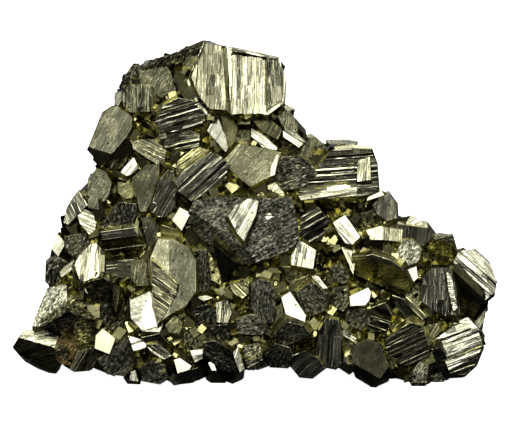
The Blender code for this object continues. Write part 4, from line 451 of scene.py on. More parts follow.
# Ribs on the striated faces: the crystal, the way its ribs run (degrees anticlockwise from
# rightwards), and for each rib where it starts and ends across that way and how high it stands.
RIBS = (
    ("summit_block", 90, ((4.6, 7.6, 0.3), (-0.6, 1.4, 0.4), (-4.6, -3.4, 0.35))),
    ("upper_left_ribs", 88, ((0.4, 1.6, 0.3),)),
    ("ribbed_slab", 17, ((1.0, 1.9, 0.35), (-1.6, -0.7, 0.3))),
    ("ribbed_block", 42, ((1.6, 2.6, 0.35), (-0.5, 0.5, 0.45), (-2.7, -1.7, 0.4))),
    ("great_ribs", 4, ((2.2, 3.3, 0.4), (0.2, 1.1, 0.35), (-2.0, -1.1, 0.45))),
    ("long_prism", 8, ((-1.8, -0.9, 0.3),)),
    ("striated_cube", 84, ((0.6, 1.4, 0.3), (-1.2, -0.5, 0.3))),
    ("east_ribs", -42, ((0.8, 1.8, 0.35), (-1.8, -0.9, 0.35))),
    ("east_pillar", 87, ((0.5, 1.4, 0.3),)),
    ("south_east_block", 22, ((1.4, 2.4, 0.35), (-1.8, -0.8, 0.4))),
    ("dark_drum", 25, ((0.6, 1.6, 0.3),)),
    ("west_pale_plate", 60, ((0.2, 1.2, 0.3),)),
    ("dark_fan", 86, ((0.2, 1.0, 0.3),)),
)

# The specimen's outline on the sheet, clockwise from its left tip.
SILHOUETTE = (
    (2.6, 68.8), (6.4, 64.6), (8.4, 60.0), (8.8, 53.4), (10.4, 48.6), (12.2, 44.4), (14.4, 39.2),
    (17.6, 34.8), (18.4, 30.6), (17.4, 29.2), (19.4, 25.2), (20.4, 22.2), (22.4, 18.4), (23.6, 16.4),
    (26.6, 12.4), (31.6, 10.8), (35.6, 9.8), (39.4, 7.8), (43.2, 7.8), (56.2, 11.2), (57.2, 20.0),
    (59.8, 24.0), (62.6, 27.2), (66.2, 29.0), (70.8, 29.2), (74.6, 31.0), (75.6, 37.6), (78.6, 39.2),
    (80.0, 43.0), (85.6, 45.2), (91.6, 48.2), (95.6, 50.0), (98.2, 52.4), (99.4, 56.4), (98.0, 60.0),
    (97.0, 64.0), (96.8, 70.0), (93.0, 74.4), (88.8, 76.8), (82.6, 77.6), (77.6, 76.6), (74.0, 77.0),
    (69.0, 74.2), (62.4, 75.4), (58.2, 73.4), (48.0, 74.2), (39.6, 74.0), (35.2, 76.8), (28.4, 76.2),
    (23.6, 75.2), (18.0, 73.8), (9.0, 73.2), (4.4, 70.6),
)


class Look(NamedTuple):
    """How a kind of face is worked: the spacing and relief of its striations as shares of the
    settings, its roughness, how much of it small grains cover, and how streaky its sheen is."""

    spacing: float
    relief: float
    rough: float
    grains: float = 0.0
    streaks: float = 1.0


MIRROR = Look(2.4, 0.06, 0.12, streaks=0.1)
PLAIN = Look(1.7, 0.12, 0.25, streaks=0.12)
LINED = Look(1.0, 0.45, 0.2, streaks=0.9)
RIBBED = Look(1.2, 1.2, 0.18, streaks=1.2)
FINE = Look(0.8, 0.16, 0.26, streaks=0.4)
COARSE = Look(1.5, 0.6, 0.34, grains=0.5, streaks=0.5)
COAL = Look(1.6, 0.25, 0.32, grains=0.15, streaks=0.35)
MOTTLED = Look(1.3, 0.25, 0.32, streaks=0.45)

# Dark shards along the upper left rim, which the frame's solid leaves as part of the mass.
RIM_SHARDS = (
    Crystal("shard_low", ((23.6, 17.4), (24.4, 15.8), (26.6, 12.6), (27.8, 12.6), (28.4, 14.0),
                          (27.0, 16.6), (25.0, 18.6)), turn=(-8, -4), rise=0.8, flare=-14),
    Crystal("shard_middle", ((28.0, 13.5), (31.2, 11.7), (33.0, 11.0), (33.8, 11.6), (32.8, 13.2),
                             (30.6, 14.2), (28.6, 14.8)), turn=(-6, -12), rise=0.6, flare=-14),
    Crystal("shard_next", ((32.6, 11.4), (35.4, 10.2), (36.6, 10.6), (35.8, 12.4), (33.2, 13.2)),
            turn=(8, -6), rise=0.9, flare=-14),
    Crystal("shard_high", ((35.8, 10.2), (38.0, 9.1), (40.6, 8.0), (41.4, 8.6), (40.4, 9.8), (37.8, 11.0),
                           (36.2, 11.4)), turn=(-2, -8), rise=0.6, flare=-14),
    Crystal("shard_slope", ((35.0, 12.6), (37.8, 11.0), (39.8, 11.4), (38.4, 15.0), (38.8, 18.6),
                            (36.8, 17.8), (35.2, 14.8)), turn=(-12, -2), rise=0.4),
)

# How each crystal's face is worked: its look, the way its striations run (degrees anticlockwise
# from rightwards on the sheet), how bright its metal is, partly its own tarnish and partly painted light and
# shade, and how yellow, from silver 0 to brass 1.
# The brightness and the yellowness are judged.
SURFACES = {
    "shard_low": (COAL, 40, 0.15, 0.6),
    "shard_middle": (COAL, 25, 0.15, 0.6),
    "shard_next": (MOTTLED, 40, 0.2, 0.8),
    "shard_high": (COAL, 30, 0.3, 0.8),
    "shard_slope": (FINE, 60, 0.4, 0.9),
    "summit_block": (LINED, 90, 0.8, 0.45),
    "gable_white_face": (MIRROR, 60, 0.6, 0.2),
    "gable_olive_face": (PLAIN, 70, 0.9, 1.0),
    "upper_left_cube": (FINE, 65, 0.5, 0.7),
    "upper_left_ribs": (RIBBED, 90, 1.1, 0.6),
    "rim_chip": (MIRROR, 60, 0.6, 0.2),
    "left_slab": (PLAIN, 60, 0.4, 0.6),
    "ribbed_slab": (RIBBED, 17, 0.7, 0.4),
    "ribbed_shelf": (RIBBED, 12, 0.6, 0.6),
    "pebble_face": (FINE, -25, 0.5, 0.7),
    "ribbed_block": (RIBBED, 42, 1.1, 0.4),
    "gold_steps": (LINED, 35, 0.5, 1.0),
    "olive_pentagon": (PLAIN, 50, 0.6, 0.7),
    "slat_white": (LINED, -35, 0.7, 0.3),
    "mottled_filler": (COARSE, 60, 0.7, 0.8),
    "under_summit_ribs": (LINED, 60, 0.8, 0.9),
    "right_shoulder": (FINE, 80, 0.6, 0.7),
    "shoulder_ribs": (RIBBED, -35, 0.75, 0.4),
    "shoulder_dark": (COAL, 0, 0.4, 0.6),
    "shoulder_knob": (LINED, 75, 0.7, 0.7),
    "dark_pentagon": (MOTTLED, 20, 0.4, 0.5),
    "small_pale": (FINE, 60, 0.6, 0.6),
    "great_ribs": (RIBBED, 4, 0.9, 0.4),
    "great_ribs_ledge": (LINED, 8, 0.7, 0.5),
    "dark_cap": (COARSE, 5, 0.2, 0.4),
    "east_nub_pale": (MIRROR, 10, 0.6, 0.4),
    "east_nub": (FINE, 80, 0.6, 0.4),
    "under_ribs_dark": (RIBBED, 30, 0.5, 0.5),
    "bright_wedge": (LINED, -50, 0.8, 0.3),
    "long_wedge": (LINED, -65, 0.7, 0.6),
    "recess_dark_east": (COARSE, 10, 0.4, 0.7),
    "heart_block": (MOTTLED, 30, 0.5, 0.35),
    "mirror_chip": (MIRROR, 40, 0.5, 0.3),
    "amber_left": (PLAIN, 50, 0.8, 1.0),
    "amber_right": (PLAIN, 50, 0.8, 1.0),
    "left_centre_face": (PLAIN, 70, 0.45, 0.7),
    "left_centre_grey": (LINED, 60, 0.6, 0.4),
    "striped_chip": (RIBBED, 50, 0.6, 0.3),
    "stripe_recess": (RIBBED, 60, 0.6, 0.7),
    "olive_nugget": (PLAIN, 30, 0.5, 1.0),
    "left_tablet": (PLAIN, 60, 0.55, 0.6),
    "left_edge_ribs": (LINED, -60, 0.8, 0.4),
    "left_stripes": (LINED, -25, 0.6, 0.4),
    "dark_plate": (MOTTLED, 70, 0.25, 0.4),
    "long_prism": (FINE, 8, 0.7, 0.3),
    "rosy_sliver": (MIRROR, 80, 0.5, 0.9),
    "grey_filler": (FINE, 70, 0.45, 0.6),
    "pale_slab": (PLAIN, 80, 0.75, 0.6),
    "pale_slab_flank": (LINED, -35, 1.0, 0.7),
    "granular_pillar_left": (MOTTLED, 85, 0.45, 0.5),
    "sparkle_strip": (COARSE, 60, 0.8, 1.0),
    "black_wedge": (PLAIN, 50, 0.15, 0.3),
    "olive_shield": (LINED, -45, 0.6, 0.9),
    "granular_column": (MOTTLED, 85, 0.5, 0.35),
    "olive_recess": (COARSE, 20, 0.7, 1.0),
    "bright_block": (LINED, 80, 0.8, 0.4),
    "white_slat": (LINED, -45, 0.7, 0.3),
    "dusky_block": (MOTTLED, -45, 0.45, 0.6),
    "white_shard": (MIRROR, 60, 0.6, 0.2),
    "olive_sliver": (PLAIN, 60, 0.7, 0.9),
    "low_granular": (MOTTLED, 10, 0.4, 0.5),
    "east_sparkle": (COARSE, 45, 0.5, 0.6),
    "white_tile": (MIRROR, 10, 0.6, 0.2),
    "tile_backing": (COARSE, 40, 0.6, 0.8),
    "dark_tablet": (PLAIN, 10, 0.45, 0.5),
    "amber_leaf": (LINED, 40, 0.8, 1.0),
    "cream_block": (FINE, 85, 0.7, 0.6),
    "east_ridge": (LINED, 85, 0.7, 0.5),
    "east_fin": (FINE, 30, 0.6, 0.4),
    "pale_boulder": (MOTTLED, 60, 0.7, 0.4),
    "white_notch": (MIRROR, 80, 0.6, 0.2),
    "brown_cube": (COARSE, 20, 0.35, 0.7),
    "east_ribs": (RIBBED, -42, 0.85, 0.3),
    "east_underside": (PLAIN, -42, 0.2, 0.3),
    "east_pillar": (RIBBED, 87, 0.6, 0.3),
    "pillar_gap": (COARSE, 80, 0.6, 0.8),
    "slant_slat": (LINED, -45, 0.7, 0.8),
    "slant_dark": (LINED, -45, 0.4, 0.6),
    "west_shards": (LINED, 60, 0.7, 0.4),
    "west_shoulder": (COARSE, 60, 0.4, 0.5),
    "west_dark": (COARSE, 60, 0.25, 0.5),
    "west_stripes": (LINED, 35, 0.6, 0.5),
    "striated_cube": (LINED, 85, 0.65, 0.5),
    "striped_prow": (RIBBED, 60, 0.7, 0.5),
    "west_pale_plate": (MOTTLED, 60, 0.8, 0.4),
    "west_black_face": (MOTTLED, 30, 0.2, 0.3),
    "west_tip": (LINED, 10, 0.9, 0.5),
    "rusty_face": (COARSE, 30, 0.4, 1.0),
    "splinter": (LINED, 60, 0.5, 0.7),
    "dark_hood": (MOTTLED, 30, 0.2, 0.5),
    "hood_flank": (RIBBED, 80, 0.5, 0.8),
    "olive_gully": (COARSE, 40, 0.7, 1.0),
    "shelf_block": (LINED, 5, 0.5, 0.6),
    "drum": (FINE, 80, 0.5, 0.8),
    "white_plate": (FINE, 20, 0.55, 0.3),
    "olive_chip": (FINE, 50, 0.6, 0.9),
    "hollow_dark": (COARSE, 50, 0.25, 0.5),
    "cream_cube": (MIRROR, 70, 0.55, 0.5),
    "foot_grey_left": (MOTTLED, 50, 0.5, 0.4),
    "stepped_white": (LINED, 20, 0.7, 0.3),
    "roof_dark": (LINED, 20, 0.4, 0.4),
    "striped_prism": (RIBBED, -35, 0.7, 0.4),
    "foot_stripes": (LINED, 75, 0.7, 0.3),
    "foot_dark_left": (COAL, 30, 0.3, 0.3),
    "foot_point": (PLAIN, 60, 0.35, 0.4),
    "foot_white_tile": (MIRROR, -30, 0.5, 0.2),
    "foot_side_dark": (PLAIN, 20, 0.25, 0.4),
    "gap_block": (COARSE, 80, 0.4, 0.6),
    "small_olive": (PLAIN, 40, 0.6, 0.9),
    "lined_chip": (LINED, 10, 0.6, 0.3),
    "pale_lump_west": (LINED, 10, 0.6, 0.5),
    "coal_block": (MOTTLED, 20, 0.25, 0.3),
    "striped_small": (RIBBED, 85, 0.6, 0.5),
    "coal_small": (COAL, 40, 0.2, 0.3),
    "black_boat": (MOTTLED, -35, 0.2, 0.3),
    "boat_rail": (LINED, 70, 0.7, 0.3),
    "foot_white_chip": (MIRROR, 60, 0.55, 0.2),
    "nest_block": (COARSE, 30, 0.4, 0.7),
    "nest_foot": (COARSE, 30, 0.3, 0.5),
    "low_pentagon": (MOTTLED, 30, 0.4, 0.3),
    "foot_coal": (MOTTLED, 60, 0.3, 0.3),
    "foot_lined": (LINED, 45, 0.5, 0.3),
    "dark_fan": (RIBBED, 85, 0.6, 0.3),
    "lined_strip": (RIBBED, -30, 0.7, 0.5),
    "strip_shadow": (COARSE, 40, 0.3, 0.4),
    "foot_leaf": (MIRROR, 50, 0.5, 0.8),
    "hollow_block": (COARSE, 50, 0.35, 0.6),
    "barred_block": (RIBBED, -20, 0.5, 0.6),
    "dark_drum": (LINED, 25, 0.45, 0.6),
    "foot_pentagon": (PLAIN, 70, 0.35, 0.7),
    "foot_wing": (COAL, 20, 0.25, 0.3),
    "foot_nest_east": (COARSE, 60, 0.4, 0.5),
    "foot_nest_tip": (COARSE, 60, 0.3, 0.5),
    "foot_far_east": (COARSE, 60, 0.4, 0.4),
    "foot_east_wedge": (COAL, 30, 0.4, 0.3),
    "coal_round": (COAL, 60, 0.25, 0.3),
    "south_east_block": (RIBBED, 22, 0.8, 0.3),
    "south_east_cap": (LINED, 15, 0.7, 0.4),
    "south_east_nub": (COARSE, 60, 0.5, 0.4),
    "east_sliver": (FINE, 60, 0.5, 0.5),
    "heart_patch": (LINED, 62, 0.45, 0.3),
    "heart_glint": (LINED, 10, 1.0, 0.3),
    "ribs_box": (LINED, 84, 0.45, 0.6),
    "summit_left": (LINED, 88, 0.3, 0.6),
    "summit_right": (RIBBED, 90, 0.4, 0.5),
    "summit_top": (LINED, -14, 0.6, 0.4),
    "pentagon_flank": (MIRROR, 80, 0.5, 0.3),
    "pillar_band": (LINED, 85, 0.7, 0.3),
    "plate_white": (MIRROR, 40, 0.6, 0.2),
    "olive_bracket": (LINED, 60, 0.6, 0.9),
}

# Faces grown on the crystals' main faces: the crystal, the face, its outline on the sheet, how it
# turns, how many steps break it, and how far the steps' middles stand over the crystal's face.
FACETS = (
    ("heart_block", "heart_patch", ((45.6, 43.2), (47.2, 41.0), (49.8, 39.7), (51.8, 40.2), (51.2, 43.0),
                                    (49.8, 45.8), (48.8, 48.2), (47.4, 46.6)), (1, 16), 1, 1.2),
    ("heart_block", "heart_glint", ((52.6, 43.0), (54.0, 42.4), (54.6, 43.4), (53.4, 44.0)),
     (0, 16), 3, 0.1),
    ("great_ribs", "ribs_box", ((71.2, 31.2), (74.0, 31.4), (74.2, 36.0), (71.4, 36.4)), (0, 14), 1, 0.15),
    ("summit_block", "summit_left", ((38.2, 15.4), (41.2, 8.6), (44.4, 9.3), (45.4, 22.1), (42.0, 21.9),
                                     (40.0, 19.6)), (-6, 13), 1, -0.45),
    ("summit_block", "summit_right", ((53.4, 11.4), (55.8, 12.0), (56.7, 16.0), (56.4, 20.0), (53.6, 22.0)),
     (18, 13), 1, -0.5),
    ("summit_block", "summit_top", ((46.8, 9.5), (55.4, 11.4), (55.2, 11.9), (46.6, 10.3)),
     (2, 17), 1, 0.06),
    ("olive_pentagon", "pentagon_flank", ((54.2, 30.4), (55.8, 31.0), (55.0, 35.0), (54.0, 35.4)),
     (4, 18), 1, -0.2),
    ("east_pillar", "pillar_band", ((89.2, 54.4), (90.2, 54.8), (91.5, 61.6), (90.6, 62.4), (89.6, 58.0)),
     (2, 14), 20, 0.05),
    ("white_plate", "plate_white", ((30.0, 59.0), (31.4, 61.0), (32.5, 65.0), (28.8, 66.0), (28.2, 62.4)),
     (-1, 20), 1, 0.1),
)

# Faces that look forward at least this much are striated; the rest are a crystal's sides.
FORWARD = 0.62
LINE_LENGTH = 3.5

# How a face's brightness runs in strips, partly painted light and shade of its striations and partly uneven
# tarnish:
# strips and breaks to a millimetre, how strongly, and the least share of it that a strip keeps.
STRIP_PITCH = 2.6
STRIP_LENGTH = 0.12
STRIP_CONTRAST = 2.0
DARKEST_STRIP = 0.15

# A crystal's sides are up to this much yellower than its face, a painted reflection of the gold around them,
# and keep this share of its brightness, a painted shade. What faces forward, but less than the edge
# strip's limit, is a worn edge and keeps the edge's share, a painted shade.
SIDE_REFLECTED_GOLD = 0.9
SIDE_SHADE = 0.8
EDGE_STRIP = 0.8
EDGE_SHADE = 0.55

# The brightest that a painted glint or a line of a crystal may be, as a share of its metal.
BRIGHTEST = 1.25

# The faces' own values, which the finishes read.
ATTRIBUTES = ("tone", "tint", "rough", "streak", "ore", "stain")

# Growth steps on the large faces, in millimetres.
PATCH_FROM = 4.6
PATCHES = (0, 2)
PATCH_HEIGHT = (0.03, 0.08)
GRAIN_PITCH = 4.0

# The small cubes in the gaps.
GAP_STEP = 0.4
GAP_EDGE_MARGIN = 1.0
SMALLEST_GAP = 0.4
FILLER_OVER_GAP = 1.15
FILLER_SMALLEST = 0.5
FILLER_LARGEST = 1.1
FILLER_COVERS = 0.85

# How bright small cubes are: most are dark, and a few flash.
CUBE_TONES = (0.12, 0.2, 0.3, 0.45, 0.6, 0.85)

# The broken ore.
CORE_VOXEL = 0.85
CORE_FRONT = -0.2
CORE_MIDDLE = 3.0
CORE_COVERED = 0.3
CORE_DEEPER = 2.5
CORE_SMOOTHING = 5
RIM_TONE = 0.06
RIM_WIDTH = 4.5
LUMP_SIZE = 3.2
CHIP_SIZE = 1.2
CRUMB_SIZE = 0.9
ORE_MIDDLE = (0, 30, 2)
ORE_REACH = (34, 22)
ORE_TONE = 0.7
ORE_ROUGH = 0.4
ORE_CUBE_SIZE = (0.5, 2.6)

# Distances from which a ray is sure to start outside the specimen, ahead of it and around it.
AHEAD = 60
AROUND = 90

# The view: where its middle lies on the sheet, as x, up and front.
VIEW_MIDDLE = (0.37, 34.4, 15.0)
SENSOR = 36.0

# The room's brightness by height: the share of the way from straight down to straight up, and how
# bright it is there.
ROOM = ((0.0, 0.01), (0.47, 0.02), (0.53, 0.08), (0.62, 0.16), (0.70, 0.24), (0.85, 0.45), (1.0, 0.6))

# The finishes' textures. The pitch is in millimetres, the scales are in cells to a metre, and the
# stretch is on the piece's own map. Pits and painted facet glints are in the cells whose random value
# is above these. The specks' relief is a multiple of the streaks' relief, and the ore's bump is in metres.
LINE_PITCH = 0.17
CLOUD_SCALE = 330.0
PIT_SCALE = 700.0
BLOTCH_SCALE = 420.0
GRIT_SCALE = 1500.0
FINE_GRIT_SCALE = 2600.0
SPECK_STRETCH = (2.5, 1.3, 1.0)
PITTED_ABOVE = 0.6
GLINTING_ABOVE = 0.8
SPECK_RELIEF = 9.0
ORE_BUMP = 0.0002

# How the finishes read their textures: the texture's low and high value, and the effect at each.
# The line glints, the cloud flash, the speck glints, the facet glints and the light clusters are painted
# highlights.
DARK_LINES = (0.40, 0.52, -0.85, 0.0)
BROAD_LINES = (0.3, 0.7, -0.35, 0.25)
LINE_GLINTS = (0.57, 0.61, 0.0, 0.8)
LINE_ROUGHNESS = (0.3, 0.7, 0.7, 1.2)
LINE_CLUSTERS = (0.42, 0.58, 0.35, 1.0)
CLOUD_SHADE = (0.35, 0.55, -0.5, 0.0)
CLOUD_FLASH = (0.57, 0.66, 0.0, 0.8)
CLOUDS_BY_ROUGHNESS = (0.1, 0.34, 0.3, 0.9)
PIT_SHADE = (0.12, 0.22, -0.75, 0.0)
SPECK_SHADE = (0.42, 0.54, -1.9, 0.3)
SPECK_GLINTS = (0.565, 0.63, 0.0, 7.0)
SPECKS_BY_ROUGHNESS = (0.24, 0.32, 0.02, 0.45)
FACET_GLINTS = (0.2, 0.26, 5.0, 0.0)
LIGHT_CLUSTERS = (0.44, 0.6, 0.35, 2.4)
LIGHTS_BY_TONE = (0.0, 1.0, 0.3, 1.2)
STAIN_BLOTCHES = (0.42, 0.6, 0.0, 1.0)
BRIGHT_GRAINS = (0.2, 1.0, 0.35, 1.5)

# Iron stain: how strong it is on the crystals that carry it.
STAINED = {"rusty_face": 0.5, "amber_left": 0.15, "amber_leaf": 0.25}


class PyriteShape(bpy.types.PropertyGroup):
    """Sizes of the fine relief."""

    line_spacing: FloatProperty(
        name="Line spacing", description="Mean distance between the striations of a lined face",
        default=0.00075, unit="LENGTH")
    line_relief: FloatProperty(
        name="Line relief", description="Depth of the striations of a lined face",
        default=0.00009, unit="LENGTH")
    edge_round: FloatProperty(
        name="Edge rounding", description="Width of the worn strip along a crystal's edges",
        default=0.00006, unit="LENGTH")
    core_sunk: FloatProperty(
        name="Core sunk", description="How far the ore lies inside the frame's solid",
        default=0.00035, unit="LENGTH")
    front_sunk: FloatProperty(
        name="Front sunk", description="How far the ore lies behind the crystals' faces",
        default=0.0012, unit="LENGTH")
    ore_relief: FloatProperty(
        name="Ore relief", description="Height of the lumps on the broken ore",
        default=0.0005, unit="LENGTH")
    grain_size: FloatProperty(
        name="Grain size", description="Half the side of the smallest cubes",
        default=0.00036, unit="LENGTH")
    back_cubes: IntProperty(
        name="Cubes in the ore", description="Small cubes grown on the broken back and sides",
        default=420, min=0)


class PyriteFinish(bpy.types.PropertyGroup):
    """Colours and roughness of the metal."""

    silver: FloatVectorProperty(
        name="Silver", description="The palest crystal faces", subtype="COLOR", size=4,
        default=(0.92, 0.91, 0.74, 1))
    brass: FloatVectorProperty(
        name="Brass", description="The yellowest crystal faces", subtype="COLOR", size=4,
        default=(0.76, 0.72, 0.32, 1))
    ore: FloatVectorProperty(
        name="Ore", description="The broken ore between and behind the crystals", subtype="COLOR",
        size=4, default=(0.80, 0.76, 0.30, 1))
    stain: FloatVectorProperty(
        name="Stain", description="Iron stain low on the left", subtype="COLOR", size=4,
        default=(0.24, 0.11, 0.02, 1))
    ore_roughness: FloatProperty(
        name="Ore roughness", description="Roughness of the broken ore", default=0.32,
        min=0, max=1, subtype="FACTOR")
    streak_relief: FloatProperty(
        name="Streak relief", description="Height of the finest lines, too fine for the mesh",
        default=0.000035, unit="LENGTH")


class PyriteStudio(bpy.types.PropertyGroup):
    """The floor, the lights and the camera."""

    floor_colour: FloatVectorProperty(
        name="Floor colour", description="The pale floor", subtype="COLOR", size=4,
        default=(0.94, 0.94, 0.94, 1))
    floor_size: FloatProperty(
        name="Floor size", description="Side of the square floor", default=6.0, unit="LENGTH")
    camera_distance: FloatProperty(
        name="Camera distance", description="From the specimen's face to the camera",
        default=1.6, unit="LENGTH")
    view_width: FloatProperty(
        name="View width", description="Width of the view at the specimen", default=0.1026,
        unit="LENGTH")
    key_light: FloatProperty(
        name="Key light", description="Power of the overhead softbox", default=2.7, unit="POWER")
    side_light: FloatProperty(
        name="Side light", description="Power of the side softboxes", default=0.4, unit="POWER")
    ambient: FloatProperty(
        name="Ambient", description="Brightness of the room", default=1.0, min=0)


def on_sheet(x, down):
    """A sheet position as (x, up) from the middle of the sheet's foot."""
    return x - SHEET_MIDDLE, SHEET_FOOT - down


def front_of(x, up):
    """Where the general crystal surface lies."""
    return FRONT_AT_FOOT - FRONT_SLOPE * up - FRONT_SIDE_FALL * (x / HALF_WIDTH) ** 2


def room_inside(points):
    """For each point (x, up), how far inside the silhouette it lies; below zero is outside."""
    corners = numpy.array([on_sheet(*point) for point in SILHOUETTE])
    nearest = numpy.full(len(points), numpy.inf)
    inside = numpy.zeros(len(points), bool)
    for start, end in zip(corners, numpy.roll(corners, -1, axis=0)):
        along = end - start
        share = numpy.clip((points - start) @ along / (along @ along), 0, 1)
        gap = numpy.hypot(*(points - start - share[:, None] * along).T)
        nearest = numpy.minimum(nearest, gap)
        crosses = (start[1] > points[:, 1]) != (end[1] > points[:, 1])
        height = along[1] or 1.0
        across = start[0] + (points[:, 1] - start[1]) / height * along[0]
        inside ^= crosses & (points[:, 0] < across)
    return numpy.where(inside, nearest, -nearest)


def clear_of(outline, points):
    """How far each point lies outside a convex outline that runs anticlockwise."""
    corners = numpy.array(outline)
    furthest = numpy.full(len(points), -numpy.inf)
    for start, end in zip(corners, numpy.roll(corners, -1, axis=0)):
        along = (end - start) / numpy.hypot(*(end - start))
        outward = numpy.array((along[1], -along[0]))
        furthest = numpy.maximum(furthest, (points - start) @ outward)
    return furthest


def sheet_grid(step):
    """Points (x, up) spread evenly over the sheet."""
    across = numpy.arange(-HALF_WIDTH - 2, HALF_WIDTH + 2, step)
    upward = numpy.arange(0, SHEET_FOOT - 6, step)
    return numpy.array([(x, up) for x in across for up in upward])


def hull(points):
    """The convex outline of flat points, anticlockwise."""
    ordered = sorted(points)

    def chain(run):
        kept = []
        for x, y in run:
            while len(kept) > 1 and (
                (kept[-1][0] - kept[-2][0]) * (y - kept[-2][1])
                <= (kept[-1][1] - kept[-2][1]) * (x - kept[-2][0])
            ):
                kept.pop()
            kept.append((x, y))
        return kept[:-1]

    return chain(ordered) + chain(ordered[::-1])


def block(middle, size):
    """A new mesh holding one cube."""
    solid = bmesh.new()
    bmesh.ops.create_cube(solid, size=size, matrix=Matrix.Translation(middle))
    return solid


def cut(solid, point, outward):
    """Cuts away what lies beyond a plane and closes the cut with a flat face."""
    parts = solid.verts[:] + solid.edges[:] + solid.faces[:]
    made = bmesh.ops.bisect_plane(
        solid, geom=parts, plane_co=point, plane_no=outward, dist=1e-5, clear_outer=True
    )
    rim = [item for item in made["geom_cut"] if isinstance(item, bmesh.types.BMEdge)]
    if rim:
        bmesh.ops.contextual_create(solid, geom=rim)


def convex(solid):
    """Rebuilds a convex body from its corners alone, as one closed surface with flat faces."""
    bmesh.ops.remove_doubles(solid, verts=solid.verts, dist=MERGE_WITHIN)
    corners = [corner.co.copy() for corner in solid.verts]
    solid.clear()
    for corner in corners:
        solid.verts.new(corner)
    made = bmesh.ops.convex_hull(solid, input=solid.verts)
    spare = [item for item in made["geom_interior"] if isinstance(item, bmesh.types.BMVert)]
    bmesh.ops.delete(solid, geom=spare, context="VERTS")
    bmesh.ops.dissolve_limit(
        solid, angle_limit=math.radians(FLAT_WITHIN), verts=solid.verts, edges=solid.edges
    )
    return solid


class Plan:
    """A crystal's main face in space: its corners, its middle, its normal and its breadth."""

    def __init__(self, crystal):
        self.outline = hull([on_sheet(*point) for point in crystal.outline])
        self.x = sum(x for x, _ in self.outline) / len(self.outline)
        self.up = sum(up for _, up in self.outline) / len(self.outline)
        self.slopes = [math.tan(math.radians(angle)) for angle in crystal.turn]
        self.normal = Vector((*self.slopes, 1)).normalized()
        self.front = front_of(self.x, self.up) + crystal.rise
        self.corners = [self.point(*corner) for corner in self.outline]
        self.middle = self.point(self.x, self.up)
        across = [x for x, _ in self.outline]
        upward = [up for _, up in self.outline]
        self.breadth = min(max(across) - min(across), max(upward) - min(upward))

    def point(self, x, up):
        """The point of the face's plane at a place on the sheet."""
        right, rise = self.slopes
        return Vector((x, up, self.front - right * (x - self.x) - rise * (up - self.up)))

    def ways(self, way):
        """The directions along and across striations that run way degrees anticlockwise."""
        along = Vector((math.cos(math.radians(way)), math.sin(math.radians(way)), 0))
        across = self.normal.cross(along).normalized()
        return across.cross(self.normal).normalized(), across


def crystal_body(crystal, plan, raised=0.0, bands=()):
    """The crystal as cut planes: its face, bevels, and sides that spread to a girdle and close.
    Raised lifts the face; bands are (direction, start, end), and only what lies in all is kept."""
    lift = plan.normal * raised
    small = plan.breadth < SMALL_BREADTH
    girdle = GIRDLE_SHARE * plan.breadth
    flare = math.radians(min(SMALL_FLARE, crystal.flare) if small else crystal.flare)
    depth = crystal.rise + (SMALL_DEPTH if small else CRYSTAL_DEPTH)

    solid = block(plan.middle - plan.normal * depth / 2, BLOCK_SIZE)
    cut(solid, plan.middle + lift, plan.normal)
    cut(solid, plan.middle - plan.normal * depth, -plan.normal)
    for across, start, end in bands:
        cut(solid, plan.middle + across * start, -across)
        cut(solid, plan.middle + across * end, across)
    for start, end in zip(plan.corners, plan.corners[1:] + plan.corners[:1]):
        outward = (end - start).cross(plan.normal).normalized()
        cut(solid, start, outward * math.cos(flare) + plan.normal * math.sin(flare))
        if not small:
            widest = start - plan.normal * girdle + outward * girdle * math.tan(flare)
            cut(solid, widest, outward * math.cos(flare) - plan.normal * math.sin(flare))
    for start, end, angle in crystal.bevels:
        line = plan.point(*on_sheet(*end)) - plan.point(*on_sheet(*start))
        left = plan.normal.cross(line).normalized() * math.copysign(1, angle)
        fall = math.radians(abs(angle))
        on_line = plan.point(*on_sheet(*start)) + lift
        cut(solid, on_line, plan.normal * math.cos(fall) + left * math.sin(fall))
    return convex(solid)


def round_edges(solid, normal, width):
    """Wears the edges of the faces that look forward down to a narrow strip."""
    edges = [edge for edge in solid.edges if any(face.normal.dot(normal) > 0.5 for face in edge.link_faces)]
    bmesh.ops.bevel(
        solid, geom=edges, offset=width, offset_type="OFFSET", segments=1, profile=0.5,
        affect="EDGES", clamp_overlap=True, material=-1
    )


def split(solid, faces, across, at):
    """Cuts faces along a plane; gives back all their parts, and the corners that the cut made."""
    parts = set(faces)
    for face in faces:
        parts.update(face.edges)
        parts.update(face.verts)
    made = bmesh.ops.bisect_plane(
        solid, geom=list(parts), plane_co=across * at, plane_no=across, dist=1e-4
    )
    ends = [item for item in made["geom_cut"] if isinstance(item, bmesh.types.BMVert)]
    return [item for item in made["geom"] if isinstance(item, bmesh.types.BMFace)], ends


def striate(solid, normal, along, across, spacing, relief, dice):
    """Cuts striations across the faces that look forward: crests and valleys that run along one
    direction, in bands that stand a little higher or lower."""
    faces = [face for face in solid.faces if face.normal.dot(normal) > FORWARD]
    if not faces:
        return
    reach = [corner.co.dot(along) for face in faces for corner in face.verts]
    at = min(reach) + LINE_LENGTH * dice.uniform(0.3, 1.0)
    while at < max(reach) - 0.5:
        faces, _ = split(solid, faces, along, at)
        at += LINE_LENGTH * dice.uniform(0.6, 1.5)
    reach = [corner.co.dot(across) for face in faces for corner in face.verts]
    at = min(reach) + spacing * dice.uniform(0.1, 0.6)
    lines = []
    terrace = 0.0
    crest = False
    while at < max(reach) - 0.05 * spacing:
        faces, ends = split(solid, faces, across, at)
        crest = not crest
        height = relief * dice.uniform(0.2, 1.0) ** 1.5 * (0.5 if crest else -1.0)
        lines.append((ends, terrace + height))
        faces = [face for face in faces if max(corner.co.dot(across) for corner in face.verts) > at + 1e-4]
        at += spacing * (dice.uniform(0.12, 0.4) if crest else dice.uniform(0.4, 1.5))
        if not crest:
            terrace = max(min(terrace + relief * dice.choice((-0.8, 0, 0, 0.8)), relief), -2 * relief)
    for ends, height in lines:
        for corner in ends:
            if corner.is_valid:
                corner.co += normal * height * dice.uniform(0.1, 1.5)


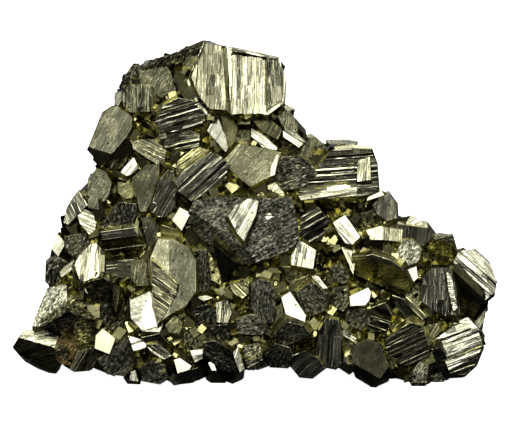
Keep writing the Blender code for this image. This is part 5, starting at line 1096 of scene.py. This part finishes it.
def layers_of(solid):
    """The attributes that the finishes read, made if need be."""
    kinds = solid.faces.layers.float
    values = {name: kinds.get(name) or kinds.new(name) for name in ATTRIBUTES}
    return values, solid.loops.layers.uv.get("grain") or solid.loops.layers.uv.new("grain")


def describe(solid, normal, along, across, values, dice, side_shade_share=SIDE_SHADE):
    """Writes each face's finish, with painted shade and painted reflected gold on the sides and worn edges,
    and a map whose u runs across its striations and v along them.
    """
    layers, grain = layers_of(solid)
    shift = Vector((dice.uniform(0, 90), dice.uniform(0, 90)))
    for face in solid.faces:
        forward = face.normal.dot(normal) > FORWARD
        for name in ATTRIBUTES:
            face[layers[name]] = values.get(name, 0.0)
        u_way, v_way = (across, along) if forward else (normal, face.normal.cross(normal))
        middle = face.calc_center_median()
        u, v = middle.dot(u_way) * STRIP_PITCH, middle.dot(v_way) * STRIP_LENGTH
        strip = Vector((u + shift.x, v, shift.y))
        # Strips of painted light and shade along the striations, and uneven tarnish.
        varied = 1 + STRIP_CONTRAST * values["streak"] * noise.noise(strip)
        # Painted shade on the sides and the worn edge strips, and painted reflected gold that grows as a face
        # turns away.
        face[layers["tone"]] = values["tone"] * max(varied, DARKEST_STRIP) * (1.0 if forward else side_shade_share)
        if FORWARD < face.normal.dot(normal) < EDGE_STRIP:
            face[layers["tone"]] *= EDGE_SHADE
        away = 1 - max(face.normal.dot(normal), 0)
        face[layers["tint"]] = min(values["tint"] + SIDE_REFLECTED_GOLD * away, 1.0)
        for loop in face.loops:
            place = loop.vert.co
            loop[grain].uv = shift + Vector((place.dot(u_way), place.dot(v_way)))


def fine_crystal(crystal, shape, dice, raised=0.0, bands=()):
    """One crystal with worn edges and striated faces."""
    look, way, tone, tint = SURFACES[crystal.name]
    plan = Plan(crystal)
    along, across = plan.ways(way)
    solid = crystal_body(crystal, plan, raised, bands)
    round_edges(solid, plan.normal, shape.edge_round / MM)
    spacing = shape.line_spacing / MM * look.spacing
    relief = shape.line_relief / MM * look.relief
    striate(solid, plan.normal, along, across, spacing, relief, dice)
    values = {
        "tone": tone * dice.uniform(0.95, 1.05), "tint": tint, "rough": look.rough,
        "streak": look.streaks, "ore": 0.0, "stain": STAINED.get(crystal.name, 0.0),
    }
    describe(solid, plan.normal, along, across, values, dice)
    return solid


def small_cube(middle, radius, turned, dice, colour):
    """A small cube in any direction, a little uneven, with about the given tone and tint."""
    sides = [radius * dice.uniform(0.8, 1.2) for _ in range(3)]
    solid = bmesh.new()
    scaled = Matrix.Diagonal((*sides, 1))
    bmesh.ops.create_cube(solid, size=2, matrix=Matrix.Translation(middle) @ turned @ scaled)
    bmesh.ops.recalc_face_normals(solid, faces=solid.faces)
    axis = turned.to_3x3() @ Vector((0, 0, 1))
    side = turned.to_3x3() @ Vector((1, 0, 0))
    values = {
        "tone": colour[0] * dice.choice(CUBE_TONES), "tint": colour[1] * dice.uniform(0.75, 1.1),
        "rough": dice.uniform(0.12, 0.26), "streak": 0.15, "ore": 0.0,
    }
    describe(solid, axis, side, axis.cross(side), values, dice, 1.0)
    return solid


def random_turn(dice):
    """A random rotation."""
    angles = [dice.uniform(0, math.tau) for _ in range(3)]
    return Euler(angles).to_matrix().to_4x4()


def patches(crystal, shape, dice):
    """Growth steps on a large face: thin slabs of the same crystal, each over part of the face."""
    plan = Plan(crystal)
    if plan.breadth < PATCH_FROM:
        return []
    along, across = plan.ways(SURFACES[crystal.name][1])
    made = []
    for _ in range(dice.randint(*PATCHES)):
        wide = plan.breadth * dice.uniform(0.12, 0.35)
        tall = plan.breadth * dice.uniform(0.3, 0.8)
        left = dice.uniform(-0.6, 0.6 - wide / plan.breadth) * plan.breadth
        low = dice.uniform(-0.7, 0.7 - tall / plan.breadth) * plan.breadth
        bands = ((across, left, left + wide), (along, low, low + tall))
        raised = dice.uniform(*PATCH_HEIGHT)
        solid = fine_crystal(crystal, shape, dice, raised, bands)
        if len(solid.faces) > 5:
            made.append(solid)
        else:
            solid.free()
    return made


def steps_of(outline, count, dice):
    """A convex outline in uneven strips, from its top down."""
    corners = hull(outline)
    top = min(down for _, down in corners)
    foot = max(down for _, down in corners)
    strips = []
    inner = [number + dice.uniform(-0.35, 0.35) for number in range(1, count)]
    cuts = [top + (foot - top) * number / count for number in (0, *inner, count)]
    for ends in zip(cuts, cuts[1:]):
        points = [corner for corner in corners if ends[0] <= corner[1] <= ends[1]]
        for (x, down), (far_x, far_down) in zip(corners, corners[1:] + corners[:1]):
            for end in ends:
                if min(down, far_down) < end < max(down, far_down):
                    points.append((x + (far_x - x) * (end - down) / (far_down - down), end))
        if len(points) > 2:
            strips.append(tuple(points))
    return strips


def facets(shape, dice):
    """The faces that are grown on the crystals' main faces."""
    crystals = {crystal.name: crystal for crystal in FRONT_CRYSTALS}
    made = []
    for parent, name, outline, turn, count, over in FACETS:
        face = Plan(crystals[parent])
        for strip in steps_of(outline, count, dice):
            middle = Plan(Crystal(name, strip, turn=turn, rise=0.0))
            rise = face.point(middle.x, middle.up).z + over - front_of(middle.x, middle.up)
            made.append(fine_crystal(Crystal(name, strip, turn=turn, rise=rise), shape, dice))
    return made


def ribs(shape, dice):
    """The strong ribs of the striated faces, as in the frame's solid."""
    crystals = {crystal.name: crystal for crystal in FRONT_CRYSTALS}
    made = []
    for name, way, bands in RIBS:
        plan = Plan(crystals[name])
        _, across = plan.ways(way)
        for start, end, height in bands:
            made.append(fine_crystal(crystals[name], shape, dice, height, ((across, start, end),)))
    return made


def grains(crystal, shape, dice):
    """Small cubes sunk into a coarse face."""
    look = SURFACES[crystal.name][0]
    plan = Plan(crystal)
    size = shape.grain_size / MM
    area = plan.breadth ** 2
    made = []
    for _ in range(int(look.grains * area / (size * GRAIN_PITCH) ** 2)):
        x = plan.x + dice.uniform(-0.75, 0.75) * plan.breadth
        up = plan.up + dice.uniform(-0.75, 0.75) * plan.breadth
        if clear_of(plan.outline, numpy.array([(x, up)]))[0] < -size:
            radius = size * dice.uniform(0.6, 1.3)
            middle = plan.point(x, up) - plan.normal * radius * dice.uniform(0.3, 0.8)
            made.append(small_cube(middle, radius, random_turn(dice), dice, SURFACES[crystal.name][2:]))
    return made


def gap_crystals(surface, dice):
    """Small cubes wherever the large crystals leave a gap, the widest gap first."""
    grid = sheet_grid(GAP_STEP)
    clearance = room_inside(grid) - GAP_EDGE_MARGIN
    for crystal in FRONT_CRYSTALS:
        outline = hull([on_sheet(*point) for point in crystal.outline])
        clearance = numpy.minimum(clearance, clear_of(outline, grid))
    made = []
    while clearance.max() > SMALLEST_GAP:
        widest = clearance.argmax()
        x, up = grid[widest]
        radius = min(max(clearance[widest] * FILLER_OVER_GAP, FILLER_SMALLEST), FILLER_LARGEST)
        radius *= dice.uniform(0.7, 1.1)
        hit = surface.ray_cast(Vector((x, up, AHEAD)), Vector((0, 0, -1)))[0]
        turned = random_turn(dice)
        if hit:
            middle = hit - Vector((0, 0, radius * dice.uniform(0.1, 0.6)))
            made.append(small_cube(middle, radius, turned, dice, (1.1 * rim_shades([(x, up)])[0], 0.95)))
        taken = numpy.hypot(grid[:, 0] - x, grid[:, 1] - up) - radius * FILLER_COVERS
        clearance = numpy.minimum(clearance, taken)
    return made


def ore_cubes(surface, shape, dice):
    """Small cubes grown on the broken ore of the back, the sides and the rim."""
    made = []
    for _ in range(shape.back_cubes):
        around = dice.uniform(0, math.tau)
        height = dice.uniform(-1, 1)
        ring = math.sqrt(1 - height * height)
        out = Vector((ring * math.cos(around), height, -abs(ring * math.sin(around)) + 0.35))
        x = dice.uniform(-ORE_REACH[0], ORE_REACH[0])
        start = Vector((x, ORE_MIDDLE[1] + dice.uniform(-ORE_REACH[1], ORE_REACH[1]), ORE_MIDDLE[2]))
        hit = surface.ray_cast(start + out.normalized() * AROUND, -out.normalized())[0]
        radius = ORE_CUBE_SIZE[0] + (ORE_CUBE_SIZE[1] - ORE_CUBE_SIZE[0]) * dice.random() ** 3
        turned = random_turn(dice)
        if hit and room_inside(numpy.array([(hit.x, hit.y)]))[0] > radius:
            colour = (0.7 * rim_shades([hit.xy[:]])[0], 0.8)
            made.append(small_cube(hit - out.normalized() * radius * 0.4, radius, turned, dice, colour))
    return made


def place_on_part():
    """From the sheet (x, up, front, in millimetres) to the standing specimen, in metres."""
    lean = math.radians(SHEET_LEAN)
    turn = Matrix((
        (1, 0, 0),
        (0, math.sin(lean), -math.cos(lean)),
        (0, math.cos(lean), math.sin(lean)),
    )).to_4x4()
    ground = Matrix.Translation((0, 0, -GROUND_BELOW_SHEET_FOOT * MM))
    return ground @ turn @ Matrix.Scale(MM, 4)


def rim_shades(points):
    """How dark the broken ore is at points (x, up): it is darker near the outline."""
    inside = numpy.clip(room_inside(numpy.array(points)) / RIM_WIDTH, 0, 1) ** 2
    return (RIM_TONE + (1 - RIM_TONE) * inside).tolist()


def rough_core(shape):
    """The ore: the frame's solid, drawn in a little, with a broken and lumpy surface."""
    whole = bpy.data.objects.new("core", frame["nodes"][NODE].data.copy())
    bpy.context.scene.collection.objects.link(whole)
    whole.data.transform(place_on_part().inverted())
    remesh = whole.modifiers.new("even_mesh", "REMESH")
    remesh.mode = "VOXEL"
    remesh.voxel_size = CORE_VOXEL
    mesh = applied(whole)
    bpy.data.objects.remove(whole)
    solid = bmesh.new()
    solid.from_mesh(mesh)
    bpy.data.meshes.remove(mesh)
    places = numpy.array([corner.co.xy[:] for corner in solid.verts])
    cover = numpy.full(len(places), numpy.inf)
    for crystal in FRONT_CRYSTALS:
        cover = numpy.minimum(cover, clear_of(Plan(crystal).outline, places))
    hidden = {
        corner: shape.front_sunk / MM + min(max(-clear, 0), CORE_DEEPER)
        for corner, clear in zip(solid.verts, cover)
        if clear < CORE_COVERED and corner.normal.z > CORE_FRONT and corner.co.z > CORE_MIDDLE
    }
    ahead = list(hidden)
    for _ in range(CORE_SMOOTHING):
        bmesh.ops.smooth_vert(
            solid, verts=ahead, factor=0.5, use_axis_x=True, use_axis_y=True, use_axis_z=True
        )
    solid.normal_update()
    relief = shape.ore_relief / MM
    moves = []
    for corner in solid.verts:
        lump = noise.noise(corner.co / LUMP_SIZE) + 0.6 * noise.noise(corner.co / CHIP_SIZE)
        crumb = noise.cell(corner.co / CRUMB_SIZE) - 0.5
        height = relief * (0.6 * lump + 0.5 * crumb)
        if corner in hidden:
            moves.append(corner.normal * height - Vector((0, 0, hidden[corner])))
        else:
            moves.append(corner.normal * (height - shape.core_sunk / MM))
    for corner, move in zip(solid.verts, moves):
        corner.co += move
    layers, grain = layers_of(solid)
    middles = [face.calc_center_median() for face in solid.faces]
    shades = rim_shades([middle.xy[:] for middle in middles])
    for face, middle, shade in zip(solid.faces, middles, shades):
        tone = ORE_TONE + 0.9 * noise.noise(middle / LUMP_SIZE)
        face[layers["tone"]] = max(tone, 0.1) * shade
        face[layers["rough"]] = ORE_ROUGH
        face[layers["ore"]] = 1.0
        for loop in face.loops:
            loop[grain].uv = loop.vert.co.xy
    return solid


def as_object(name, solid, place, collection):
    """Writes a finished bmesh into a named object."""
    bmesh.ops.transform(solid, matrix=place, verts=solid.verts)
    mesh = bpy.data.meshes.new(name)
    solid.to_mesh(mesh)
    solid.free()
    made = bpy.data.objects.new(name, mesh)
    collection.objects.link(made)
    return made


def applied(made):
    """An object's mesh with its modifiers applied."""
    graph = bpy.context.evaluated_depsgraph_get()
    return bpy.data.meshes.new_from_object(made.evaluated_get(graph))


def boolean(target, operation, collection):
    """Joins a collection to an object, or cuts it away, and applies the result."""
    modifier = target.modifiers.new(operation.lower(), "BOOLEAN")
    modifier.operation = operation
    modifier.solver = "MANIFOLD"
    modifier.operand_type = "COLLECTION"
    modifier.collection = collection
    mesh = applied(target)
    target.modifiers.clear()
    target.data = mesh


def shells(solid):
    """The separate closed surfaces of a mesh, each as its list of faces."""
    found = []
    left = set(solid.faces)
    while left:
        todo = [left.pop()]
        shell = []
        while todo:
            face = todo.pop()
            shell.append(face)
            for edge in face.edges:
                for other in edge.link_faces:
                    if other in left:
                        left.remove(other)
                        todo.append(other)
        found.append(shell)
    return found


def twins(solid):
    """Pairs of triangles with the same corners: folds of no thickness, which joining can leave."""
    by_corners = {}
    for face in solid.faces:
        by_corners.setdefault(frozenset(face.verts), []).append(face)
    return [face for faces in by_corners.values() if len(faces) == 2 for face in faces]


def keep_outside(mesh):
    """Keeps the outer surface alone, in triangles."""
    solid = bmesh.new()
    solid.from_mesh(mesh)
    bmesh.ops.triangulate(solid, faces=solid.faces)
    bmesh.ops.delete(solid, geom=twins(solid), context="FACES")
    bodies = shells(solid)
    outer = max(bodies, key=lambda shell: sum(face.calc_area() for face in shell))
    inner = [face for shell in bodies if shell is not outer for face in shell]
    bmesh.ops.delete(solid, geom=inner, context="FACES")
    solid.to_mesh(mesh)
    solid.free()


class Shader:
    """Small helpers for building one node tree."""

    def __init__(self, tree):
        self.tree = tree

    def node(self, kind, label="", **values):
        made = self.tree.nodes.new(kind)
        made.label = label
        for key, value in values.items():
            setattr(made, key, value)
        return made

    def link(self, source, target):
        self.tree.links.new(source, target)

    def math(self, operation, first, second, clamp=False):
        made = self.node("ShaderNodeMath", operation=operation, use_clamp=clamp)
        for socket, value in zip(made.inputs, (first, second)):
            if isinstance(value, (int, float)):
                socket.default_value = value
            else:
                self.link(value, socket)
        return made.outputs[0]

    def mix(self, share, first, second, blend="MIX"):
        made = self.node("ShaderNodeMix", data_type="RGBA", blend_type=blend)
        for socket, value in ((made.inputs[0], share), (made.inputs[6], first), (made.inputs[7], second)):
            if isinstance(value, (int, float, tuple)):
                socket.default_value = value
            elif hasattr(value, "is_output"):
                self.link(value, socket)
            else:
                socket.default_value = tuple(value)
        made.clamp_result = blend == "MULTIPLY"
        return made.outputs[2]

    def spread(self, value, low, high, to_low, to_high):
        made = self.node("ShaderNodeMapRange")
        self.link(value, made.inputs[0])
        for socket, number in zip(made.inputs[1:5], (low, high, to_low, to_high)):
            if isinstance(number, (int, float)):
                socket.default_value = number
            else:
                self.link(number, socket)
        return made.outputs[0]


def streak_group():
    """A node group: fine lines that run along a map's v, broken up along their length."""
    group = bpy.data.node_groups.new("fine_striations", "ShaderNodeTree")
    group.interface.new_socket("Map", in_out="INPUT", socket_type="NodeSocketVector")
    pitch = group.interface.new_socket("Pitch", in_out="INPUT", socket_type="NodeSocketFloat")
    pitch.default_value = 0.3
    group.interface.new_socket("Lines", in_out="OUTPUT", socket_type="NodeSocketFloat")
    group.interface.new_socket("Broad", in_out="OUTPUT", socket_type="NodeSocketFloat")
    shader = Shader(group)
    inside = shader.node("NodeGroupInput")
    outside = shader.node("NodeGroupOutput")
    parts = shader.node("ShaderNodeSeparateXYZ")
    shader.link(inside.outputs["Map"], parts.inputs[0])
    across = shader.math("DIVIDE", parts.outputs["X"], inside.outputs["Pitch"])
    results = []
    for stretch, detail, scale in ((0.3, 5.0, 1.0), (0.2, 3.0, 0.25)):
        along = shader.math("MULTIPLY", parts.outputs["Y"], stretch)
        wide = shader.math("MULTIPLY", across, scale)
        place = shader.node("ShaderNodeCombineXYZ")
        shader.link(wide, place.inputs["X"])
        shader.link(along, place.inputs["Y"])
        texture = shader.node("ShaderNodeTexNoise", noise_dimensions="2D")
        texture.inputs["Scale"].default_value = 1.0
        texture.inputs["Detail"].default_value = detail
        texture.inputs["Roughness"].default_value = 0.65
        shader.link(place.outputs[0], texture.inputs["Vector"])
        results.append(texture.outputs["Fac"])
    shader.link(results[0], outside.inputs["Lines"])
    shader.link(results[1], outside.inputs["Broad"])
    return group


def grit_group():
    """A node group: the broken texture of ore, as height and as a mask of brighter grains."""
    group = bpy.data.node_groups.new("broken_grit", "ShaderNodeTree")
    group.interface.new_socket("Place", in_out="INPUT", socket_type="NodeSocketVector")
    group.interface.new_socket("Height", in_out="OUTPUT", socket_type="NodeSocketFloat")
    group.interface.new_socket("Grains", in_out="OUTPUT", socket_type="NodeSocketFloat")
    shader = Shader(group)
    inside = shader.node("NodeGroupInput")
    outside = shader.node("NodeGroupOutput")
    cells = shader.node("ShaderNodeTexVoronoi", feature="F1")
    cells.inputs["Scale"].default_value = GRIT_SCALE
    fine = shader.node("ShaderNodeTexNoise")
    fine.inputs["Scale"].default_value = FINE_GRIT_SCALE
    fine.inputs["Detail"].default_value = 4.0
    for texture in (cells, fine):
        shader.link(inside.outputs["Place"], texture.inputs["Vector"])
    height = shader.math("ADD", cells.outputs["Distance"], fine.outputs["Fac"])
    shader.link(height, outside.inputs["Height"])
    parts = shader.node("ShaderNodeSeparateColor")
    shader.link(cells.outputs["Color"], parts.inputs[0])
    shader.link(parts.outputs[0], outside.inputs["Grains"])
    return group


def attribute(shader, name):
    """A face's own value."""
    return shader.node("ShaderNodeAttribute", attribute_name=name, label=name).outputs["Fac"]


def new_material(name):
    """An empty material with its Principled BSDF."""
    material = bpy.data.materials.new(name)
    material.use_nodes = True
    shader = Shader(material.node_tree)
    principled = material.node_tree.nodes["Principled BSDF"]
    principled.inputs["Metallic"].default_value = 1.0
    return material, shader, principled


def stained(shader, colour, roughness, principled, finish):
    """Iron stain over a metal, where the faces ask for it."""
    place = shader.node("ShaderNodeTexCoord").outputs["Object"]
    blotch = shader.node("ShaderNodeTexNoise", label="stain blotches")
    blotch.inputs["Scale"].default_value = BLOTCH_SCALE
    blotch.inputs["Detail"].default_value = 3.0
    shader.link(place, blotch.inputs["Vector"])
    patchy = shader.spread(blotch.outputs["Fac"], *STAIN_BLOTCHES)
    share = shader.math("MULTIPLY", attribute(shader, "stain"), patchy, clamp=True)
    shader.link(shader.mix(share, colour, tuple(finish.stain)), principled.inputs["Base Color"])
    shader.link(shader.spread(share, 0.0, 1.0, roughness, 0.6), principled.inputs["Roughness"])
    shader.link(shader.spread(share, 0.0, 1.0, 1.0, 0.5), principled.inputs["Metallic"])


def crystal_metal(finish, streaks):
    """Bright crystal faces: silver to brass, with fine striations in painted sheen and in relief, and painted
    glints.
    """
    material, shader, principled = new_material("crystal_faces")
    grain = shader.node("ShaderNodeUVMap", uv_map="grain")
    lines = shader.node("ShaderNodeGroup", node_tree=streaks)
    lines.inputs["Pitch"].default_value = LINE_PITCH
    shader.link(grain.outputs["UV"], lines.inputs["Map"])
    metal = shader.mix(attribute(shader, "tint"), tuple(finish.silver), tuple(finish.brass))
    place = shader.node("ShaderNodeTexCoord").outputs["Object"]
    cloud = shader.node("ShaderNodeTexNoise", label="tarnish and glint clouds")
    cloud.inputs["Scale"].default_value = CLOUD_SCALE
    cloud.inputs["Detail"].default_value = 4.0
    shader.link(place, cloud.inputs["Vector"])
    pits = shader.node("ShaderNodeTexVoronoi", label="pits", feature="F1")
    pits.inputs["Scale"].default_value = PIT_SCALE
    shader.link(place, pits.inputs["Vector"])
    cell = shader.node("ShaderNodeSeparateColor")
    shader.link(pits.outputs["Color"], cell.inputs[0])
    streak = attribute(shader, "streak")
    dark = shader.spread(lines.outputs["Lines"], *DARK_LINES)
    clustered = shader.spread(cloud.outputs["Fac"], *LINE_CLUSTERS)
    lined = shader.math("ADD", 1.0, shader.math("MULTIPLY", shader.math("MULTIPLY", dark, streak), clustered))
    wide = shader.spread(lines.outputs["Broad"], *BROAD_LINES)
    broad = shader.math("ADD", 1.0, shader.math("MULTIPLY", wide, streak))
    shade = shader.spread(cloud.outputs["Fac"], *CLOUD_SHADE)
    flash = shader.spread(cloud.outputs["Fac"], *CLOUD_FLASH)
    mottle = shader.math("ADD", shade, flash)
    cloudiness = shader.spread(attribute(shader, "rough"), *CLOUDS_BY_ROUGHNESS)
    cloudy = shader.math("ADD", 1.0, shader.math("MULTIPLY", mottle, cloudiness))
    pitted = shader.math("GREATER_THAN", cell.outputs[0], PITTED_ABOVE)
    depth = shader.spread(pits.outputs["Distance"], *PIT_SHADE)
    pit = shader.math("ADD", 1.0, shader.math("MULTIPLY", pitted, depth))
    tone = attribute(shader, "tone")
    specks = shader.node("ShaderNodeTexNoise", label="specks")
    specks.inputs["Scale"].default_value = 1.0
    stretched = shader.node("ShaderNodeMapping", label="specks run along the striations")
    stretched.inputs["Scale"].default_value = SPECK_STRETCH
    shader.link(grain.outputs["UV"], stretched.inputs["Vector"])
    specks.inputs["Detail"].default_value = 3.0
    specks.inputs["Roughness"].default_value = 0.7
    shader.link(stretched.outputs["Vector"], specks.inputs["Vector"])
    spots = shader.spread(specks.outputs["Fac"], *SPECK_SHADE)
    coarse = shader.spread(attribute(shader, "rough"), *SPECKS_BY_ROUGHNESS)
    speckled = shader.math("ADD", 1.0, shader.math("MULTIPLY", spots, coarse))
    # Painted highlights: glints in the facet cells, on the specks and along the lines, added to the tone.
    glinting_cell = shader.math("GREATER_THAN", cell.outputs[1], GLINTING_ABOVE)
    facet_glint = shader.math("MULTIPLY", glinting_cell, shader.spread(pits.outputs["Distance"], *FACET_GLINTS))
    sparks = shader.math("ADD", facet_glint, shader.spread(specks.outputs["Fac"], *SPECK_GLINTS))
    glints = shader.math("MULTIPLY", shader.spread(lines.outputs["Lines"], *LINE_GLINTS), streak)
    lights = shader.math("ADD", shader.math("MULTIPLY", sparks, coarse), glints)
    bright = shader.math("MULTIPLY", lights, shader.spread(cloud.outputs["Fac"], *LIGHT_CLUSTERS))
    shine = shader.math("MULTIPLY", bright, shader.spread(tone, *LIGHTS_BY_TONE))
    for factor in (lined, broad, cloudy, pit, speckled):
        tone = shader.math("MULTIPLY", tone, factor)
    tone = shader.math("MINIMUM", shader.math("ADD", tone, shine), BRIGHTEST)
    toned = shader.mix(1.0, metal, tone, "MULTIPLY")
    worn = shader.spread(lines.outputs["Lines"], *LINE_ROUGHNESS)
    rough = shader.math("MULTIPLY", attribute(shader, "rough"), worn)
    stained(shader, toned, rough, principled, finish)
    bump = shader.node("ShaderNodeBump")
    bump.inputs["Distance"].default_value = finish.streak_relief
    bump.inputs["Strength"].default_value = 1.0
    both = shader.math("ADD", lines.outputs["Lines"], lines.outputs["Broad"])
    height = shader.math("MULTIPLY", both, attribute(shader, "streak"))
    grainy = shader.math("MULTIPLY", shader.math("MULTIPLY", specks.outputs["Fac"], coarse), SPECK_RELIEF)
    shader.link(shader.math("ADD", height, grainy), bump.inputs["Height"])
    shader.link(bump.outputs["Normal"], principled.inputs["Normal"])
    return material


def ore_metal(finish, grit):
    """Broken ore: dull brassy metal with a gritty surface and bright grains."""
    material, shader, principled = new_material("broken_ore")
    place = shader.node("ShaderNodeTexCoord").outputs["Object"]
    broken = shader.node("ShaderNodeGroup", node_tree=grit)
    shader.link(place, broken.inputs["Place"])
    bright = shader.spread(broken.outputs["Grains"], *BRIGHT_GRAINS)
    tone = shader.math("MULTIPLY", attribute(shader, "tone"), bright)
    toned = shader.mix(1.0, tuple(finish.ore), tone, "MULTIPLY")
    dull, bright_rough = finish.ore_roughness + 0.12, finish.ore_roughness - 0.2
    rough = shader.spread(broken.outputs["Grains"], 0.0, 1.0, dull, bright_rough)
    stained(shader, toned, rough, principled, finish)
    bump = shader.node("ShaderNodeBump")
    bump.inputs["Distance"].default_value = ORE_BUMP
    bump.inputs["Strength"].default_value = 0.6
    shader.link(broken.outputs["Height"], bump.inputs["Height"])
    shader.link(bump.outputs["Normal"], principled.inputs["Normal"])
    return material


class PYRITE_OT_specimen(bpy.types.Operator):
    """Grow the crystals, the small cubes and the broken ore into one specimen"""

    bl_idname = "pyrite.specimen"
    bl_label = "Specimen"

    def execute(self, context):
        shape = context.scene.pyrite_shape
        finish = context.scene.pyrite_finish
        dice = random.Random(SEED)
        place = place_on_part()
        core = rough_core(shape)
        surface = BVHTree.FromBMesh(core)
        solids = [fine_crystal(crystal, shape, dice) for crystal in FRONT_CRYSTALS + RIM_SHARDS]
        solids += ribs(shape, dice) + facets(shape, dice)
        for crystal in FRONT_CRYSTALS:
            solids += patches(crystal, shape, dice) + grains(crystal, shape, dice)
        solids += gap_crystals(surface, dice) + ore_cubes(surface, shape, dice)

        growth = bpy.data.collections.new("growth")
        ground = bpy.data.collections.new("ground")
        for collection in (growth, ground):
            context.scene.collection.children.link(collection)
        for number, solid in enumerate(solids):
            as_object(f"growth_{number}", solid, place, growth)
        floor = bmesh.new()
        bmesh.ops.create_cube(floor, size=1.0, matrix=Matrix.Translation((0, 0, -0.5)))
        layers, _ = layers_of(floor)
        for face in floor.faces:
            face[layers["tone"]] = ORE_TONE
            face[layers["ore"]] = 1.0
            face[layers["rough"]] = ORE_ROUGH
        as_object("ground_block", floor, Matrix.Identity(4), ground)

        specimen = as_object("specimen", core, place, context.scene.collection)
        boolean(specimen, "UNION", growth)
        boolean(specimen, "DIFFERENCE", ground)
        for collection in (growth, ground):
            for helper in list(collection.objects):
                bpy.data.objects.remove(helper)
            bpy.data.collections.remove(collection)
        keep_outside(specimen.data)
        specimen.data.name = "specimen"
        specimen.data.materials.clear()
        specimen.data.materials.append(crystal_metal(finish, streak_group()))
        specimen.data.materials.append(ore_metal(finish, grit_group()))
        values = numpy.zeros(len(specimen.data.polygons), numpy.float32)
        specimen.data.attributes["ore"].data.foreach_get("value", values)
        specimen.data.polygons.foreach_set("material_index", (values > 0.5).astype(numpy.int32))
        specimen.data.update()
        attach(specimen, BODY)
        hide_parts(NODE)
        return {"FINISHED"}


def area_light(context, name, azimuth, elevation, distance, size, power, aim):
    """A softbox in a direction from the specimen, facing it."""
    light = bpy.data.lights.new(name, "AREA")
    light.shape = "RECTANGLE"
    light.size, light.size_y = size
    light.energy = power
    made = bpy.data.objects.new(name, light)
    turn = Euler((math.radians(90 - elevation), 0, math.radians(azimuth))).to_matrix()
    out = turn @ Vector((0, 0, 1))
    made.location = aim + out * distance
    made.rotation_euler = turn.to_euler()
    made.visible_camera = False
    context.scene.collection.objects.link(made)
    return made


class PYRITE_OT_studio(bpy.types.Operator):
    """Add the pale floor, the soft lights and the camera"""

    bl_idname = "pyrite.studio"
    bl_label = "Studio"

    def execute(self, context):
        studio = context.scene.pyrite_studio
        scene = context.scene
        solid = bmesh.new()
        bmesh.ops.create_grid(solid, x_segments=1, y_segments=1, size=studio.floor_size / 2)
        floor = as_object("floor", solid, Matrix.Identity(4), scene.collection)
        material = bpy.data.materials.new("pale_floor")
        material.use_nodes = True
        principled = material.node_tree.nodes["Principled BSDF"]
        principled.inputs["Base Color"].default_value = tuple(studio.floor_colour)
        principled.inputs["Roughness"].default_value = 0.9
        principled.inputs["Emission Color"].default_value = (1, 1, 1, 1)
        principled.inputs["Emission Strength"].default_value = 1.0
        floor.data.materials.append(material)
        floor.visible_glossy = False

        place = place_on_part()
        aim = place @ Vector(VIEW_MIDDLE)
        area_light(context, "overhead", 0, 52, 0.7, (0.7, 0.5), studio.key_light, aim)
        area_light(context, "left", -38, 16, 0.8, (0.22, 0.34), studio.side_light, aim)
        area_light(context, "right", 66, 20, 0.8, (0.3, 0.4), studio.side_light, aim)
        area_light(context, "behind", 180, 28, 0.9, (1.2, 0.5), studio.key_light, aim)

        world = bpy.data.worlds.new("room")
        world.use_nodes = True
        shader = Shader(world.node_tree)
        background = world.node_tree.nodes["Background"]
        direction = shader.node("ShaderNodeTexCoord")
        parts = shader.node("ShaderNodeSeparateXYZ")
        shader.link(direction.outputs["Generated"], parts.inputs[0])
        ramp = shader.node("ShaderNodeValToRGB", label="dark below, soft above")
        steps = ramp.color_ramp.elements
        steps[0].position, steps[0].color = ROOM[0][0], (ROOM[0][1],) * 3 + (1,)
        steps[1].position, steps[1].color = ROOM[-1][0], (ROOM[-1][1],) * 3 + (1,)
        for position, value in ROOM[1:-1]:
            steps.new(position).color = (value, value, value, 1)
        shader.link(shader.spread(parts.outputs["Z"], -1, 1, 0, 1), ramp.inputs[0])
        shader.link(ramp.outputs["Color"], background.inputs["Color"])
        background.inputs["Strength"].default_value = studio.ambient
        scene.world = world
        scene.view_settings.view_transform = "Standard"

        camera = bpy.data.objects.new("camera", bpy.data.cameras.new("camera"))
        scene.collection.objects.link(camera)
        camera.data.sensor_width = SENSOR
        camera.data.lens = SENSOR * studio.camera_distance / studio.view_width
        back = (place.to_3x3() @ Vector((0, 0, 1))).normalized()
        camera.location = aim + back * studio.camera_distance
        camera.rotation_euler = (math.radians(90 - SHEET_LEAN), 0, 0)
        camera.data.clip_start = 0.05
        scene.camera = camera
        return {"FINISHED"}


class PYRITE_PT_panel(bpy.types.Panel):
    """The specimen's sizes, finish and studio"""

    bl_label = "Pyrite Specimen"
    bl_idname = "PYRITE_PT_panel"
    bl_space_type = "VIEW_3D"
    bl_region_type = "UI"
    bl_category = "Pyrite"

    def draw(self, context):
        layout = self.layout
        for group in (context.scene.pyrite_shape, context.scene.pyrite_finish, context.scene.pyrite_studio):
            box = layout.box()
            for name in group.__annotations__:
                box.prop(group, name)
        for operator in (PYRITE_OT_specimen, PYRITE_OT_studio):
            layout.operator(operator.bl_idname)


CLASSES = (PyriteShape, PyriteFinish, PyriteStudio, PYRITE_OT_specimen, PYRITE_OT_studio, PYRITE_PT_panel)


def register():
    for kind in CLASSES:
        bpy.utils.register_class(kind)
    bpy.types.Scene.pyrite_shape = PointerProperty(type=PyriteShape)
    bpy.types.Scene.pyrite_finish = PointerProperty(type=PyriteFinish)
    bpy.types.Scene.pyrite_studio = PointerProperty(type=PyriteStudio)


def unregister():
    del bpy.types.Scene.pyrite_shape
    del bpy.types.Scene.pyrite_finish
    del bpy.types.Scene.pyrite_studio
    for kind in reversed(CLASSES):
        bpy.utils.unregister_class(kind)


def main():
    register()
    bpy.ops.pyrite.specimen()
    bpy.ops.pyrite.studio()


if __name__ == "__main__":
    main()
